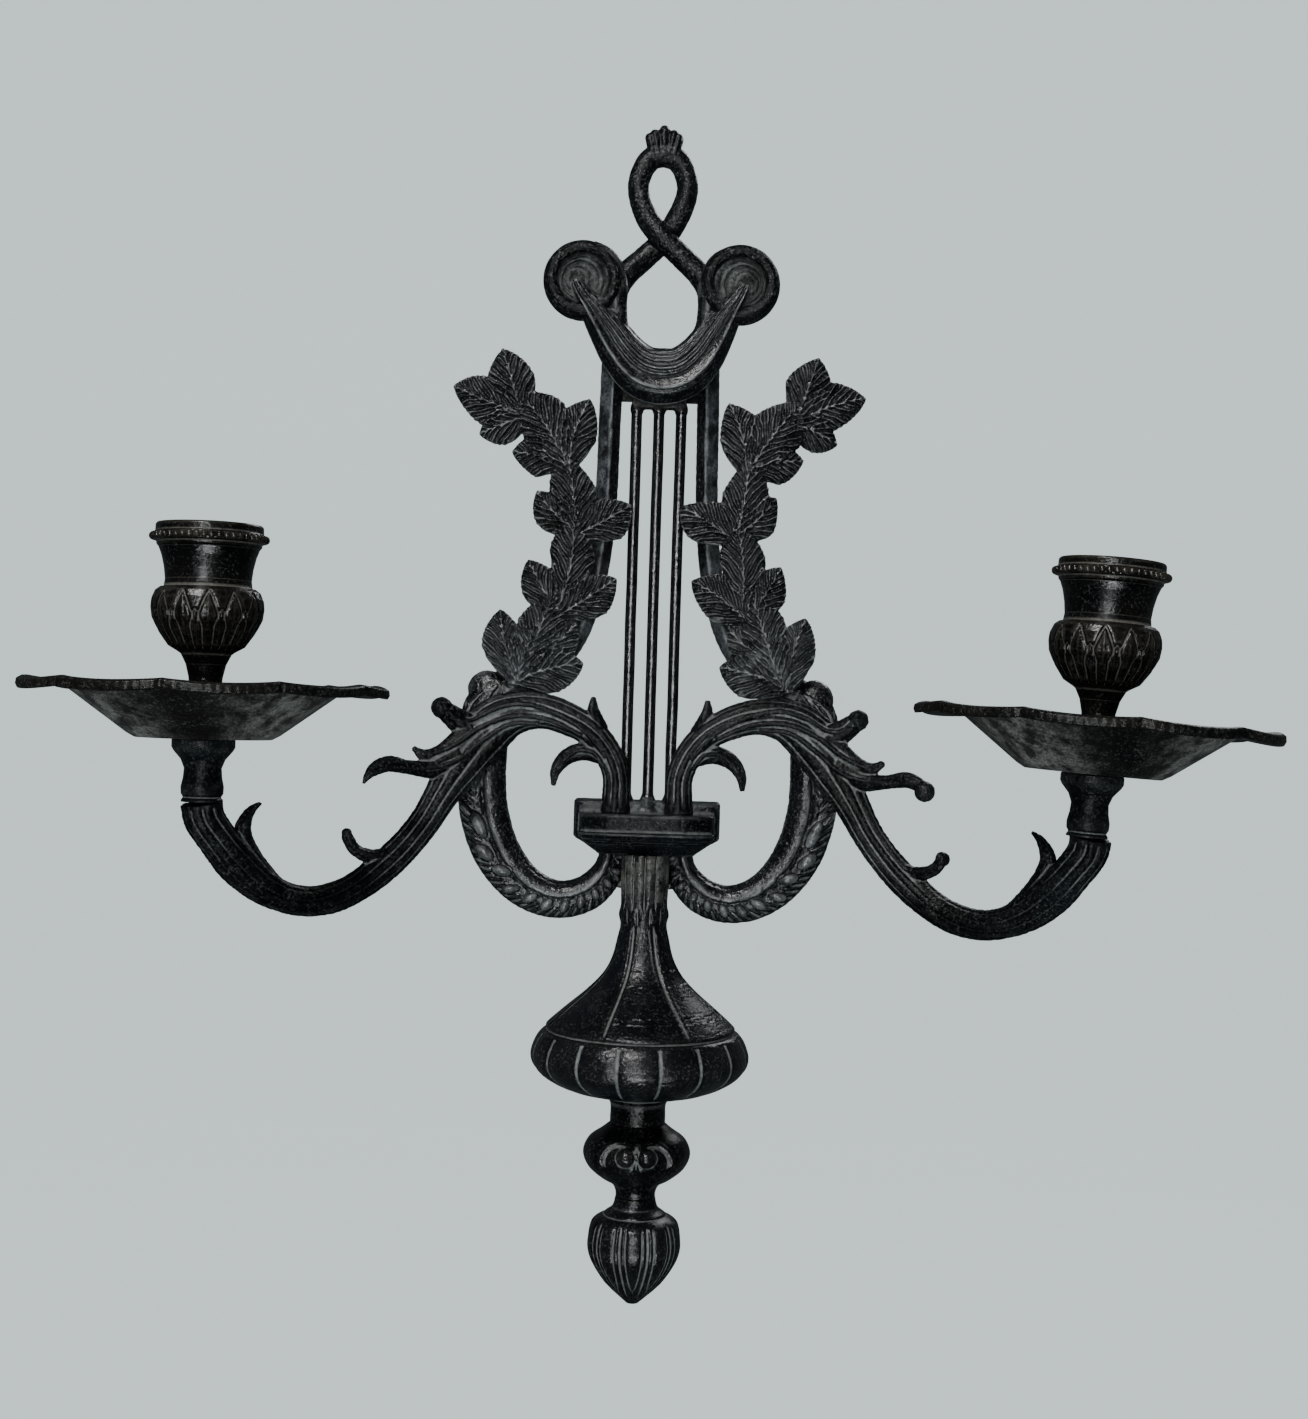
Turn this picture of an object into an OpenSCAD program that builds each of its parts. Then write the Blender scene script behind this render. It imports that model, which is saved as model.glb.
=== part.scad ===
// Lyre wall sconce for two candles, in patinated cast brass.
// Frame: origin at the centre of the hanging hole, on the wall plane (y = 0).
// +X to the viewer's right, -Y out of the wall towards the viewer, +Z up. Units: mm.
// Each casting is its own node: frame, drape, strings, block, stem, knop, bud,
// arms, sprays, collars, pans, cups and the hidden screws, rod and dowels.

/* [Node] */

// node to draw, or all of them

/* [Candle seats] */

// half the distance between the two candles
seat_x = 132; // [110:0.5:150]
// how far each candle stands out from the wall
seat_out = 76; // [60:0.5:95]
// height of the straight collar's top face
seat_z = -122.7; // [-140:0.1:-105]
// how much lower the right seat hangs, its arm being bent down a little
right_sag = 2.5; // [0:0.1:4]
// candle hole radius, for a 22 mm household candle
candle_r = 11.2; // [10:0.05:13]
// candle hole depth
candle_deep = 26; // [18:0.5:32]
// stud radius, M6
stud_r = 3; // [2:0.05:4]
// radial play of the stud in its collar
stud_play = 0.05; // [0.02:0.01:0.1]
// gap between the stacked faces of collar, pan and cup
face_gap = 0.05; // [0.05:0.01:0.1]

/* [Drip pans] */

// radius of the flat bottom
pan_flat_r = 20; // [15:0.5:25]
// radius where the cone meets the rim
pan_cone_r = 40.3; // [34:0.1:46]
// radius at the tips of the scallops
pan_rim_r = 55; // [48:0.5:60]
// height of the rim over the collar
pan_deep = 14.5; // [10:0.1:20]
// wall thickness
pan_wall = 1.25; // [0.8:0.05:2]
// scallops round the rim
pan_lobes = 10; // [6:1:16]

/* [Lyre frame] */

// half width of the round bars
bar_r = 3.65; // [3:0.05:5]
// depth of the bars from the wall
bar_deep = 8; // [6:0.1:10]
// depth of the scrolls from the wall
scroll_deep = 9; // [7:0.1:12]

/* [Strings] */

// string radius
string_r = 1.7; // [1:0.05:2.5]
// distance between strings
string_step = 7.4; // [6:0.1:9]
// distance of the strings from the wall
string_out = 5; // [4:0.1:7]

/* [Base block] */

// half width of the slab that carries arms and strings
block_x = 24.2; // [20:0.1:30]
// depth of the slab from the wall
slab_y = 19; // [18.5:0.1:22]
// half width of the panel in front of the slab
panel_x = 22; // [18:0.1:24]
// depth of the panel from the wall
panel_y = 25.5; // [22:0.1:30]
// top of the block
block_top = -140.3; // [-150:0.1:-130]
// bottom of the block
block_low = -157.8; // [-165:0.1:-155]

/* [Turned stem] */

// distance of the turned parts' axis from the wall
stem_out = 12; // [10:0.1:16]
// widest radius of the bell bulb
bulb_r = 36; // [30:0.1:40]
// ribs under the bulb
bulb_ribs = 16; // [8:1:24]
// tie rod radius
rod_r = 2.5; // [2:0.05:3]
// radial play round the tie rod
rod_play = 0.1; // [0.05:0.01:0.3]

/* [Hanging hole] */

// hole radius for the nail or screw in the wall
hang_r = 3; // [2:0.1:5]
// hanger plate thickness
plate_t = 2; // [1:0.1:3]

/* [Screws] */

// shank radius of the small screws
screw_r = 1.5; // [1:0.05:2]
// head radius of the small screws
head_r = 3; // [2:0.05:4]
// head height of the small screws
head_h = 1.6; // [1:0.1:2.5]
// clearance hole radius of the small screws
screw_hole_r = 1.6; // [1.1:0.05:2.2]

/* [Hidden] */

$fn = 64;
small = 32;                 // $fn of small round parts
far = 200;                  // length that is certain to clear the part
left = -1;
right = 1;
dark = [0.16, 0.17, 0.18];
steel = [0.45, 0.45, 0.46];

bar_y = -bar_deep + 4.2;    // centre line of a bar whose back is cut flat
scroll_y = -scroll_deep + 5;
drape_back = -8;            // plane where the drape lies on the bars
spray_back = -9.5;          // back plane of the laurel leaves
arm_root_x = 10.3;
arm_root_y = -14;
pin_r = 2;                  // dowel between block and arm
pin_h = 6;                  // length of the dowel in each of the two
string_in = 4;              // how deep a string stands in the block
string_top = -6.5;          // upper end of the strings, inside the rail
sink = 0.2;                 // how far a screw head lies under the surface
arm_bend_x = 50;            // the arm starts to sweep forward here
shoulder = [54, -118];      // screw point of the arm on the frame
collar_h = 18.8;            // collar height
spigot_h = 8;
arm_top = seat_z - collar_h;
pad_y = -9;                 // contact plane of arm and frame
rise = 8;                   // travel that frees the cup's thread
stud_low = 14;              // stud length under the collar top
stud_high = 10;             // stud length inside the cup foot
rod_top = -146;
rod_low = -288;
plate_x = 19;
drape_screw = [15.5, 3];
spray_screw = [16.4, -46.6];  // where a leaf of the spray lies on the side bar
spray_foot = [45, -101.6];     // where the spray stands on the shoulder
frame_screw_z = -167;
strap_x = 13;               // half width of the strap behind the stem that joins the scrolls
strap_y = 4;
strap_low = -175;
strap_h = 14;
plate_low = -7;             // lower edge of the hanger plate
plate_h = 15;
plate_play = 0.05;          // play between the plate and its seat

// ---------- curves ----------

function unit(v) = v / norm(v);

// point at t between b and c of the smooth curve through a, b, c, d
function curve_point(a, b, c, d, t) =
    0.5 * (2 * b + (c - a) * t + (2 * a - 5 * b + 4 * c - d) * t * t
    + (3 * b - a - 3 * c + d) * t * t * t);

// smooth curve through the points p, with n steps between two of them
function smooth(p, n) = concat(
    [for (i = [0:len(p) - 2], k = [0:n - 1])
        curve_point(p[max(i - 1, 0)], p[i], p[i + 1], p[min(i + 2, len(p) - 1)], k / n)],
    [p[len(p) - 1]]);

function place(q) = [q[0], q[1], q[2]];

function heading(p, i) = unit(place(p[min(i + 1, len(p) - 1)]) - place(p[max(i - 1, 0)]));

// an oval of half sizes q[3] (in the plane of the lyre) and q[4] (in depth),
// cut flat where it would pass the plane y = back
function oval(q, t, m, back) =
    let (side = unit(cross(t, [0, 1, 0])), deep = cross(side, t))
    [for (k = [0:m - 1])
        let (v = place(q) + side * q[3] * cos(360 * k / m) + deep * q[4] * sin(360 * k / m))
        [v[0], min(v[1], back), v[2]]];

// solid that follows the curve p of [x, y, z, half width, half depth]
module follow(p, m, back) {
    n = len(p);
    rings = [for (i = [0:n - 1]) each oval(p[i], heading(p, i), m, back)];
    ends = [place(p[0]), place(p[n - 1])];
    sides = [for (i = [0:n - 2], k = [0:m - 1]) each [
        [i * m + k, (i + 1) * m + (k + 1) % m, (i + 1) * m + k],
        [i * m + k, i * m + (k + 1) % m, (i + 1) * m + (k + 1) % m]]];
    first = [for (k = [0:m - 1]) [n * m, (k + 1) % m, k]];
    last = [for (k = [0:m - 1]) [n * m + 1, (n - 1) * m + k, (n - 1) * m + (k + 1) % m]];
    polyhedron(concat(rings, ends), concat(sides, first, last));
}

// turned solid about the axis x = 0, y = -stem_out from points [radius, height]
module turned(p) {
    translate([0, -stem_out, 0])
        rotate_extrude()
            polygon(p);
}

// everything behind the wall plane
module behind_wall() {
    translate([-far, 0, -2 * far])
        cube([2 * far, far, 3 * far]);
}

// a round bar along Y from y0 (nearer the wall) to y1
module along_y(x, z, r, y0, y1) {
    translate([x, y0, z])
        rotate([90, 0, 0])
            cylinder(r = r, h = y0 - y1, $fn = small);
}

// ---------- lyre frame ----------

// one bar of the lyre: half the loop, the crossing, the leg, the long side bar,
// the shoulder and the scroll; x is given for a scroll on the viewer's right
bar_line = [
    [1.5, 75.4, 4, 3.9], [-4.4, 73.6, 3.9, 3.9], [-7.7, 67, 3.8, 3.9], [-7.5, 60.6, 3.8, 3.9],
    [-4.6, 53.2, 3.8, 3.8], [0, 47, 3.8, 3.6], [6.4, 40.8, 3.9, 3.8], [12.4, 35, 4, 4],
    [15.6, 28.5, 3.9, 4.1], [15.9, 18, 3.7, 4.2], [16, 8, 3.7, 4.2], [16.4, -15, 3.7, 4.2], [16.8, -40, 3.7, 4.2],
    [18.1, -58, 3.7, 4.2], [20.6, -72, 3.7, 4.2], [24.4, -84, 3.8, 4.2], [30, -93, 4, 4.3],
    [38.5, -99.4, 4.8, 4.6], [48.5, -104.8, 6.8, 4.9], [54.4, -112, 8.2, 5],
    [55.2, -124, 8, 5], [55.4, -136, 8.1, 5], [54.4, -146, 8.2, 5], [50.6, -157.5, 8, 5],
    [44, -167, 7.4, 5], [36, -172.6, 6.8, 5], [27.5, -174.3, 6.3, 5], [19.3, -171.9, 6.1, 5],
    [13.4, -166.2, 5.4, 4.8], [11.2, -160.5, 4.8, 4.6], [11, -158.3, 4.9, 4.5]];
loop_shift = -1;            // the loop and its crown sit a little to the left
cross_z = 47;               // height of the crossing

// how far a point at height z is moved with the loop
function shift_at(z) = loop_shift * min(max((z - 36) / 16, 0), 1);

// how far the bar stands forward where the two bars cross
function cross_lift(z, side) = side * 2.2 * exp(-pow((z - cross_z) / 7, 2));

function frame_line(side) = [for (q = bar_line)
    [side * q[0] + shift_at(q[1]), q[1] < -95 ? scroll_y : bar_y - cross_lift(q[1], side), q[1], q[2], q[3]]];

// lobes of the crown as [distance from its middle, height, radius]
crown_lobes = [[0, 83.2, 2.1], [3.2, 82.1, 2], [-3.2, 82.1, 2], [4.9, 80.4, 1.8], [-4.9, 80.4, 1.8]];

module palmette() {
    for (lobe = crown_lobes)
        along_y(loop_shift + lobe[0], lobe[1], lobe[2], 0, -7);
    along_y(loop_shift, 77.6, 5.4, 0, -7.6);
}

module lyre_frame() {
    color(dark) difference() {
        union() {
            for (side = [left, right]) {
                follow(smooth(frame_line(side), 3), 12, 0);
                along_y(side * shoulder[0], shoulder[1], 5.5, 0, pad_y);
            }
            palmette();
            translate([-strap_x, -strap_y, strap_low])
                cube([2 * strap_x, strap_y, strap_h]);
        }
        // seat of the hanger plate
        translate([-plate_x - plate_play, -plate_t, plate_low - plate_play])
            cube([2 * (plate_x + plate_play), plate_t + 1, plate_h + 2 * plate_play]);
        for (side = [left, right]) {
            along_y(side * drape_screw[0], drape_screw[1], screw_hole_r, 1, -far);
            along_y(side * shoulder[0], shoulder[1], screw_hole_r, 1, -far);
            along_y(side * shoulder[0], shoulder[1], head_r + 0.1, 1, -head_h - sink);
            along_y(side * spray_screw[0], spray_screw[1], screw_hole_r, 1, -far);
            along_y(side * spray_screw[0], spray_screw[1], head_r + 0.1, 1, -head_h - sink);
            along_y(side * spray_foot[0], spray_foot[1], screw_hole_r, 1, -far);
            along_y(side * spray_foot[0], spray_foot[1], head_r + 0.1, 1, -head_h - sink);
        }
        along_y(0, frame_screw_z, screw_hole_r, 1, -far);
        along_y(0, frame_screw_z, head_r + 0.1, 1, -head_h - sink);
    }
}

module hanger_plate() {
    color(dark) difference() {
        translate([-plate_x, -plate_t, plate_low])
            cube([2 * plate_x, plate_t, plate_h]);
        along_y(0, 0, hang_r, 1, -plate_t - 1);
        for (side = [left, right]) {
            along_y(side * drape_screw[0], drape_screw[1], screw_hole_r, 1, -plate_t - 1);
            along_y(side * drape_screw[0], drape_screw[1], head_r + 0.1, 1, -head_h);
        }
    }
}

// ---------- drape ----------

roll_z = 30.3;              // height of the rolls' centres
roll_r = 13.1;
rail_x = 9.4;               // half width of the rail under the cloth
rail_low = -10.2;
rail_h = 5;

function roll_x(side) = side == left ? -26.3 : 25.4;

// the hanging cloth, from one roll down and up to the other
drape_line = [
    [-25.5, -12, 26, 4.2, 3.5], [-20.8, -13, 21.4, 6, 4.6], [-16.6, -13.4, 13.4, 6.9, 5],
    [-11.9, -13.8, 6.2, 7.8, 5.4], [-6.2, -14, 1.2, 8.8, 5.7], [0.4, -14, -0.4, 9.3, 5.8],
    [7.2, -14, 1.2, 8.8, 5.7], [12.7, -13.8, 6.2, 7.8, 5.4], [16.8, -13.4, 13.4, 6.9, 5],
    [20.4, -13, 21.4, 6, 4.6], [24.6, -12, 26, 4.2, 3.5]];

// section of a roll: a fat rim round a dished face with a button in the middle
module roll_end(side) {
    translate([roll_x(side), drape_back, roll_z])
        rotate([90, 0, 0])
            rotate_extrude()
                polygon([[0, 0], [11.6, 0], [12.6, 2.2], [roll_r, 5], [12.7, 8.2], [11.4, 10.3],
                    [9.8, 10.9], [8.6, 9.8], [8.2, 8.2], [7, 8.6], [5.6, 7.6], [4.1, 8.4], [2.4, 8.6], [0, 8.2]]);
}

module swag_drape() {
    color(dark) difference() {
        union() {
            follow(smooth(drape_line, 3), 14, drape_back);
            roll_end(left);
            roll_end(right);
            // rail that holds the tops of the strings
            translate([-rail_x, drape_back - 2, rail_low])
                cube([2 * rail_x, 7.9, rail_h]);
        }
        for (side = [left, right])
            along_y(side * drape_screw[0], drape_screw[1], screw_r, 1, -13);
        for (i = [-1:1])
            translate([i * string_step, -string_out, rail_low - 1])
                cylinder(r = string_r, h = string_top - rail_low + 1, $fn = small);
    }
}

// countersunk-head screw from the wall side, head end at y = 0
module back_screw(x, z, tip) {
    along_y(x, z, screw_r, -head_h + 0.1, tip);
    along_y(x, z, head_r, -0.1, -head_h);
}

module drape_screws() {
    color(steel)
        for (side = [left, right])
            back_screw(side * drape_screw[0], drape_screw[1], -13);
}

// ---------- strings ----------

module one_string(i) {
    color(dark)
        translate([i * string_step, -string_out, block_top - string_in])
            cylinder(r = string_r, h = string_top - block_top + string_in, $fn = small);
}

module string_left() { one_string(-1); }
module string_centre() { one_string(0); }
module string_right() { one_string(1); }

// ---------- base block ----------

ledge_z = block_top - 4;    // top of the panel

// edge of the slab from top to bottom, as [how far out, height]
slab_edge = [[block_x, block_top], [block_x, block_top - 11.8], [block_x - 3.6, block_top - 14], [15.8, block_low]];

// edge of the panel with its thin ledge and the stepped slope under it
function panel_edge(half) = [[half, ledge_z], [half, ledge_z - 6], [half + 0.5, ledge_z - 6.3],
    [half + 0.5, ledge_z - 7], [half - 0.3, ledge_z - 8.4], [half - 1.7, ledge_z - 9.2],
    [half - 3.8, ledge_z - 11.3], [half - 6.2, block_low]];

function both_sides(edge) = concat(edge, [for (i = [len(edge) - 1:-1:0]) [-edge[i][0], edge[i][1]]]);

module base_block() {
    color(dark) difference() {
        union() {
            rotate([90, 0, 0])
                linear_extrude(slab_y)
                    polygon(both_sides(slab_edge));
            intersection() {
                rotate([90, 0, 0])
                    linear_extrude(2 * panel_y)
                        polygon(both_sides(panel_edge(panel_x)));
                rotate([90, 0, -90])
                    linear_extrude(2 * block_x + 2, center = true)
                        polygon(concat(panel_edge(panel_y), [[0, block_low], [0, ledge_z]]));
            }
        }
        for (i = [-1:1])
            translate([i * string_step, -string_out, block_top - string_in])
                cylinder(r = string_r, h = string_in + 1, $fn = small);
        for (s = [left, right])
            translate([s * arm_root_x, arm_root_y, block_top - pin_h])
                cylinder(r = pin_r, h = pin_h + 1, $fn = small);
        translate([0, -stem_out, block_low - 1])
            cylinder(r = rod_r, h = rod_top - block_low + 1, $fn = small);
    }
}

// ---------- turned parts on the tie rod ----------

module rod_hole() {
    translate([0, -stem_out, rod_low - 30])
        cylinder(r = rod_r + rod_play, h = 200, $fn = small);
}

vase_edge = [
    [7.9, block_low], [7.9, -166], [7.6, -175], [7.5, -181], [8.4, -186], [10, -192], [13.1, -197.5],
    [18.3, -203], [25.3, -209], [31.2, -214.4], [31.1, -215.5], [32.4, -216.2], [34.5, -219],
    [bulb_r, -224], [34.6, -228], [30.6, -231.3], [23.6, -234.6], [11.5, -237.4], [10, -238.5],
    [9.1, -242.2], [9.1, -246.2]];

knop_edge = [
    [9.1, -246.2], [12.1, -248.6], [15.9, -251.5], [17.4, -256], [15.8, -260.5], [11.8, -264],
    [8, -266.2], [6.5, -270.6]];

bud_edge = [
    [6.5, -270.6], [7.6, -274], [10.7, -276.3], [14, -279], [15.3, -284.3], [14.9, -288.7],
    [12.9, -293.2], [9, -298.8], [3, -304.3], [0.6, -306.3]];

function closed_edge(p) = concat([[0, p[0][1]]], p, [[0, p[len(p) - 1][1]]]);

// grooves that part the ribs of a turned shape between two heights
module rib_grooves(p, count, turn, high, low, deep, wide) {
    translate([0, -stem_out, 0])
        for (i = [0:count - 1])
            rotate([90, 0, turn + 360 * i / count])
                linear_extrude(wide, center = true)
                    difference() {
                        translate([2, low])
                            square([bulb_r + 4, high - low]);
                        polygon(concat([[0, p[0][1]]], [for (q = p) [q[0] - deep, q[1]]], [[0, p[len(p) - 1][1]]]));
                    }
}

module vase_body() {
    color(dark) difference() {
        turned(closed_edge(vase_edge));
        rib_grooves(vase_edge, bulb_ribs, -90 + 180 / bulb_ribs, -216.4, -236.6, 0.7, 0.9);
        rib_grooves(vase_edge, 6, -60, -176, -213.5, 0.6, 0.9);
        rib_grooves(vase_edge, 8, -90 + 22.5, -158.5, -175, 0.7, 1.1);
        rod_hole();
        behind_wall();
        along_y(0, frame_screw_z, screw_r, 1, -8.6);
    }
}

module frame_screw() {
    color(steel)
        back_screw(0, frame_screw_z, -8.6);
}

module lower_knop() {
    color(dark) difference() {
        union() {
            turned(closed_edge(knop_edge));
            for (side = [left, right])
                translate([side * 3.5, -stem_out - 15.6, -257])
                    sphere(r = 3.2, $fn = small);
        }
        rod_hole();
        behind_wall();
    }
}

module bud_finial() {
    color(dark) difference() {
        turned(closed_edge(bud_edge));
        rib_grooves(bud_edge, 10, -90 + 18, -276, -299, 0.7, 0.8);
        translate([0, -stem_out, rod_low])
            cylinder(r = rod_r, h = 30, $fn = small);
        behind_wall();
    }
}

module tie_rod() {
    color(steel)
        translate([0, -stem_out, rod_low])
            cylinder(r = rod_r, h = rod_top - rod_low, $fn = small);
}

// ---------- arms ----------

function arm_y(x) = arm_root_y
    - (seat_out + arm_root_y) * (x > arm_bend_x ? pow((x - arm_bend_x) / (seat_x - arm_bend_x), 1.5) : 0);

// the right arm hangs a little lower, more and more towards its seat
function sag(x, side) = side == right && x > shoulder[0]
    ? right_sag * pow((x - shoulder[0]) / (seat_x - shoulder[0]), 2) : 0;

function seat_lean(side) = side == right ? atan(2 * right_sag / (seat_x - shoulder[0])) : 0;

function arm_line(p, side) = [for (q = p)
    [side * q[0], arm_y(q[0]) + q[1], q[2] - sag(q[0], side), q[3], q[4]]];

// main stem of an arm, from the block to the seat: [x, lift, z, half width, half depth]
arm_stem = [
    [10.3, 0, -140.3, 4.7, 4.3], [10.5, 0, -132, 4.5, 4.3], [13.5, 0, -124.5, 4.6, 4.4],
    [19, 0, -118.2, 4.9, 4.4], [26.5, 0, -114, 5.5, 4.4], [34.5, 0, -111.6, 5.9, 4.4],
    [42.5, 0, -112, 6.9, 4.4], [49.5, 0, -115, 8.3, 4.5], [56, 0, -121.5, 8.8, 4.6],
    [62, 0, -130.5, 7.6, 4.7], [67, 0, -139.5, 5.7, 4.8], [71.8, 0, -148.3, 5.1, 4.8],
    [77.6, 0, -156.3, 5.1, 4.8], [84, 0, -163, 5.3, 4.8], [91, 0, -168.8, 5, 4.8],
    [98, 0, -172.2, 5, 4.8], [105, 0, -172.9, 4.8, 4.8], [111.6, 0, -170.9, 4.9, 4.8],
    [117.8, 0, -166.4, 5.6, 4.9], [123.3, 0, -160, 5.9, 5], [128, 0, -152.6, 5, 5],
    [131.2, 0, -146.5, 5.1, 5.1], [132, 0, -141.5, 5.2, 5.2]];

arm_leaves = [
    // curl inside the arch
    [[16, 0, -125, 3.4, 3.4], [21.5, 0, -124.4, 3.1, 3.2], [26.6, 0, -126.2, 2.8, 2.8],
        [30.3, 0, -130.6, 2, 2.2], [31.1, 0, -136.2, 0.7, 0.9]],
    // thorn over the root
    [[16.5, 0, -117.5, 3.2, 3], [18.6, 0, -111.6, 2.2, 2.4], [18.8, 0, -106.3, 0.5, 0.8]],
    // round knob on the shoulder
    [[55.5, 0, -119, 5.4, 4.2], [61, 0.5, -117, 4.4, 3.8], [66.4, 0.8, -112.8, 3.2, 3.3]],
    // short leaf
    [[61, 0, -121.5, 4, 3.8], [67.5, 0, -126, 2.8, 2.8], [71.5, 0, -127.6, 2.4, 2.2], [74.6, 0, -126.3, 0.8, 1]],
    // long leaf
    [[65, 0, -129.5, 4.6, 3.8], [72, 0, -131.6, 3, 3], [80, 0, -130.5, 2.4, 2.4],
        [86, 0, -131.2, 3.1, 2.6], [89.6, 0, -134.6, 1.4, 1.6]],
    // curl on the lower stretch
    [[83, 0, -160, 3.6, 3.6], [88.8, 0, -158.9, 2.2, 2.8], [93.2, 0, -156, 2, 2.2], [94.3, 0, -151.4, 0.9, 1]],
    // thorn inside the rising end
    [[123.5, 0, -162, 4, 4], [122.3, 0, -154, 3.3, 3.4], [120.2, 0, -147.6, 2, 2.4], [117.7, 0, -142.4, 0.5, 0.8]]];

// moves children from the collar's top centre at the origin to one seat
module at_seat(side) {
    translate([side * seat_x, -seat_out, seat_z - sag(seat_x, side)])
        rotate([0, seat_lean(side), 0])
            children();
}

knob_x = 67.9;
knob_z = -111.5;
knob_r = 3.6;

module arm(side) {
    color(dark) difference() {
        union() {
            intersection() {
                follow(smooth(arm_line(arm_stem, side), 3), 14, far);
                translate([-far, -far, block_top - 60])
                    cube([2 * far, 2 * far, 200]);
            }
            for (leaf = arm_leaves)
                follow(smooth(arm_line(leaf, side), 4), 8, far);
            translate([side * knob_x, arm_y(knob_x) + 0.8, knob_z - sag(knob_x, side)])
                sphere(r = knob_r, $fn = small);
            along_y(side * shoulder[0], shoulder[1], 4.5, pad_y, arm_root_y);
            translate([side * arm_root_x, arm_root_y, block_top])
                cylinder(r = 4.2, h = 4, $fn = small);
            at_seat(side)
                translate([0, 0, -collar_h - 3])
                    cylinder(r = 5.2, h = 3, $fn = small);
        }
        at_seat(side) {
            translate([0, 0, -collar_h - spigot_h])
                cylinder(r = stud_r, h = spigot_h + 1, $fn = small);
            translate([-9, -9, -collar_h])
                cube([18, 18, 10]);
        }
        translate([side * arm_root_x, arm_root_y, block_top - 1])
            cylinder(r = pin_r, h = pin_h + 1, $fn = small);
        translate([side * arm_root_x - 8, arm_root_y - 8, block_top - 10])
            cube([16, 16, 10]);
        along_y(side * shoulder[0], shoulder[1], screw_r, 0, arm_root_y - 1);
    }
}

module left_arm() { arm(left); }
module right_arm() { arm(right); }

module arm_root_pins() {
    color(steel)
        for (side = [left, right])
            translate([side * arm_root_x, arm_root_y, block_top - pin_h])
                cylinder(r = pin_r, h = 2 * pin_h, $fn = small);
}

module arm_screws() {
    color(steel)
        for (side = [left, right])
            back_screw(side * shoulder[0], shoulder[1], arm_root_y - 1);
}

// ---------- laurel sprays ----------

spray_stem = [
    [45.4, -12, -103.2, 2.6, 2.4], [43.4, -12, -96, 2.4, 2.4], [38, -12, -88, 2.3, 2.4],
    [31, -12, -75.5, 2.2, 2.3], [27, -12, -62, 2.1, 2.2], [25.2, -12, -49, 2, 2.1],
    [27, -12, -38, 1.9, 2], [31, -12, -27.5, 1.8, 1.9], [38.5, -12, -17.6, 1.6, 1.8], [49, -12, -10, 1.4, 1.6]];

// leaves as [base x, base z, tip x, tip z, width]
spray_leaves = [
    [48, -11.4, 67.4, -6, 13], [47.5, -11, 51.6, 6.8, 13.2], [44.5, -13.6, 58.2, -21.3, 11],
    [31, -28.5, 44, -8, 14], [30, -28.5, 23.3, -8.8, 11.5], [30, -28.5, 47.3, -26.6, 12],
    [26.6, -46, 29, -30, 10.5], [25.4, -50, 38.6, -39.3, 11], [25.4, -50.5, 8.7, -43.6, 12],
    [28.6, -66, 28, -50, 11], [30.4, -75.5, 41, -62.8, 11.5], [31, -76.5, 13, -67.8, 12.5],
    [39.5, -91, 35, -76, 11.5], [44.8, -100, 49, -79.4, 12.5], [44.2, -100.5, 23.2, -96.5, 13],
    [43.2, -99.5, 35.5, -84, 11]];
leaf_t = 1.15;              // half thickness of a leaf

// middle line of a leaf: it arches forward a little and narrows to both ends
function leaf_line(q, i) = [for (k = [0:6])
    let (t = k / 6, swell = pow(sin(180 * (0.04 + 0.92 * t)), 0.75))
    [q[0] + (q[2] - q[0]) * t, spray_back - leaf_t - 0.1 - 0.25 * (i % 4) - 1.6 * sin(150 * t),
        q[1] + (q[3] - q[1]) * t, q[4] / 2 * swell, 0.45 + 0.7 * swell]];

module spray(side) {
    color(dark) mirror([side == left ? 1 : 0, 0, 0]) difference() {
        union() {
            follow(smooth(spray_stem, 3), 8, spray_back);
            for (i = [0:len(spray_leaves) - 1])
                follow(leaf_line(spray_leaves[i], i), 8, spray_back);
            along_y(spray_screw[0], spray_screw[1], 3.2, drape_back, spray_back - 2.6);
            along_y(spray_foot[0], spray_foot[1], 3, pad_y, spray_back - 2);
        }
        along_y(spray_screw[0], spray_screw[1], screw_r, 0, -12);
        along_y(spray_foot[0], spray_foot[1], screw_r, 0, -12);
    }
}

module left_laurel() { spray(left); }
module right_laurel() { spray(right); }

module laurel_screws() {
    color(steel)
        for (side = [left, right]) {
            back_screw(side * spray_screw[0], spray_screw[1], -12);
            back_screw(side * spray_foot[0], spray_foot[1], -12);
        }
}

// ---------- candle seats ----------

collar_edge = [
    [7.6, 0], [7.6, -2.7], [6.9, -3.7], [5, -6.2], [4.4, -8.8], [4.7, -11.5], [5.3, -14.3],
    [5.2, -16.5], [4.7, -17.5], [5.1, -collar_h]];

module collar(side) {
    color(dark) at_seat(side) difference() {
        union() {
            rotate_extrude()
                polygon(closed_edge(collar_edge));
            translate([0, 0, -collar_h - spigot_h])
                cylinder(r = stud_r, h = spigot_h + 1, $fn = small);
        }
        translate([0, 0, -stud_low - 2])
            cylinder(r = stud_r + stud_play, h = stud_low + 3, $fn = small);
    }
}

module left_arm_collar() { collar(left); }
module right_arm_collar() { collar(right); }

pan_low = face_gap;
pan_high = pan_low + pan_deep;
notch_r = 7;
notch_deep = 2;

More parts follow.
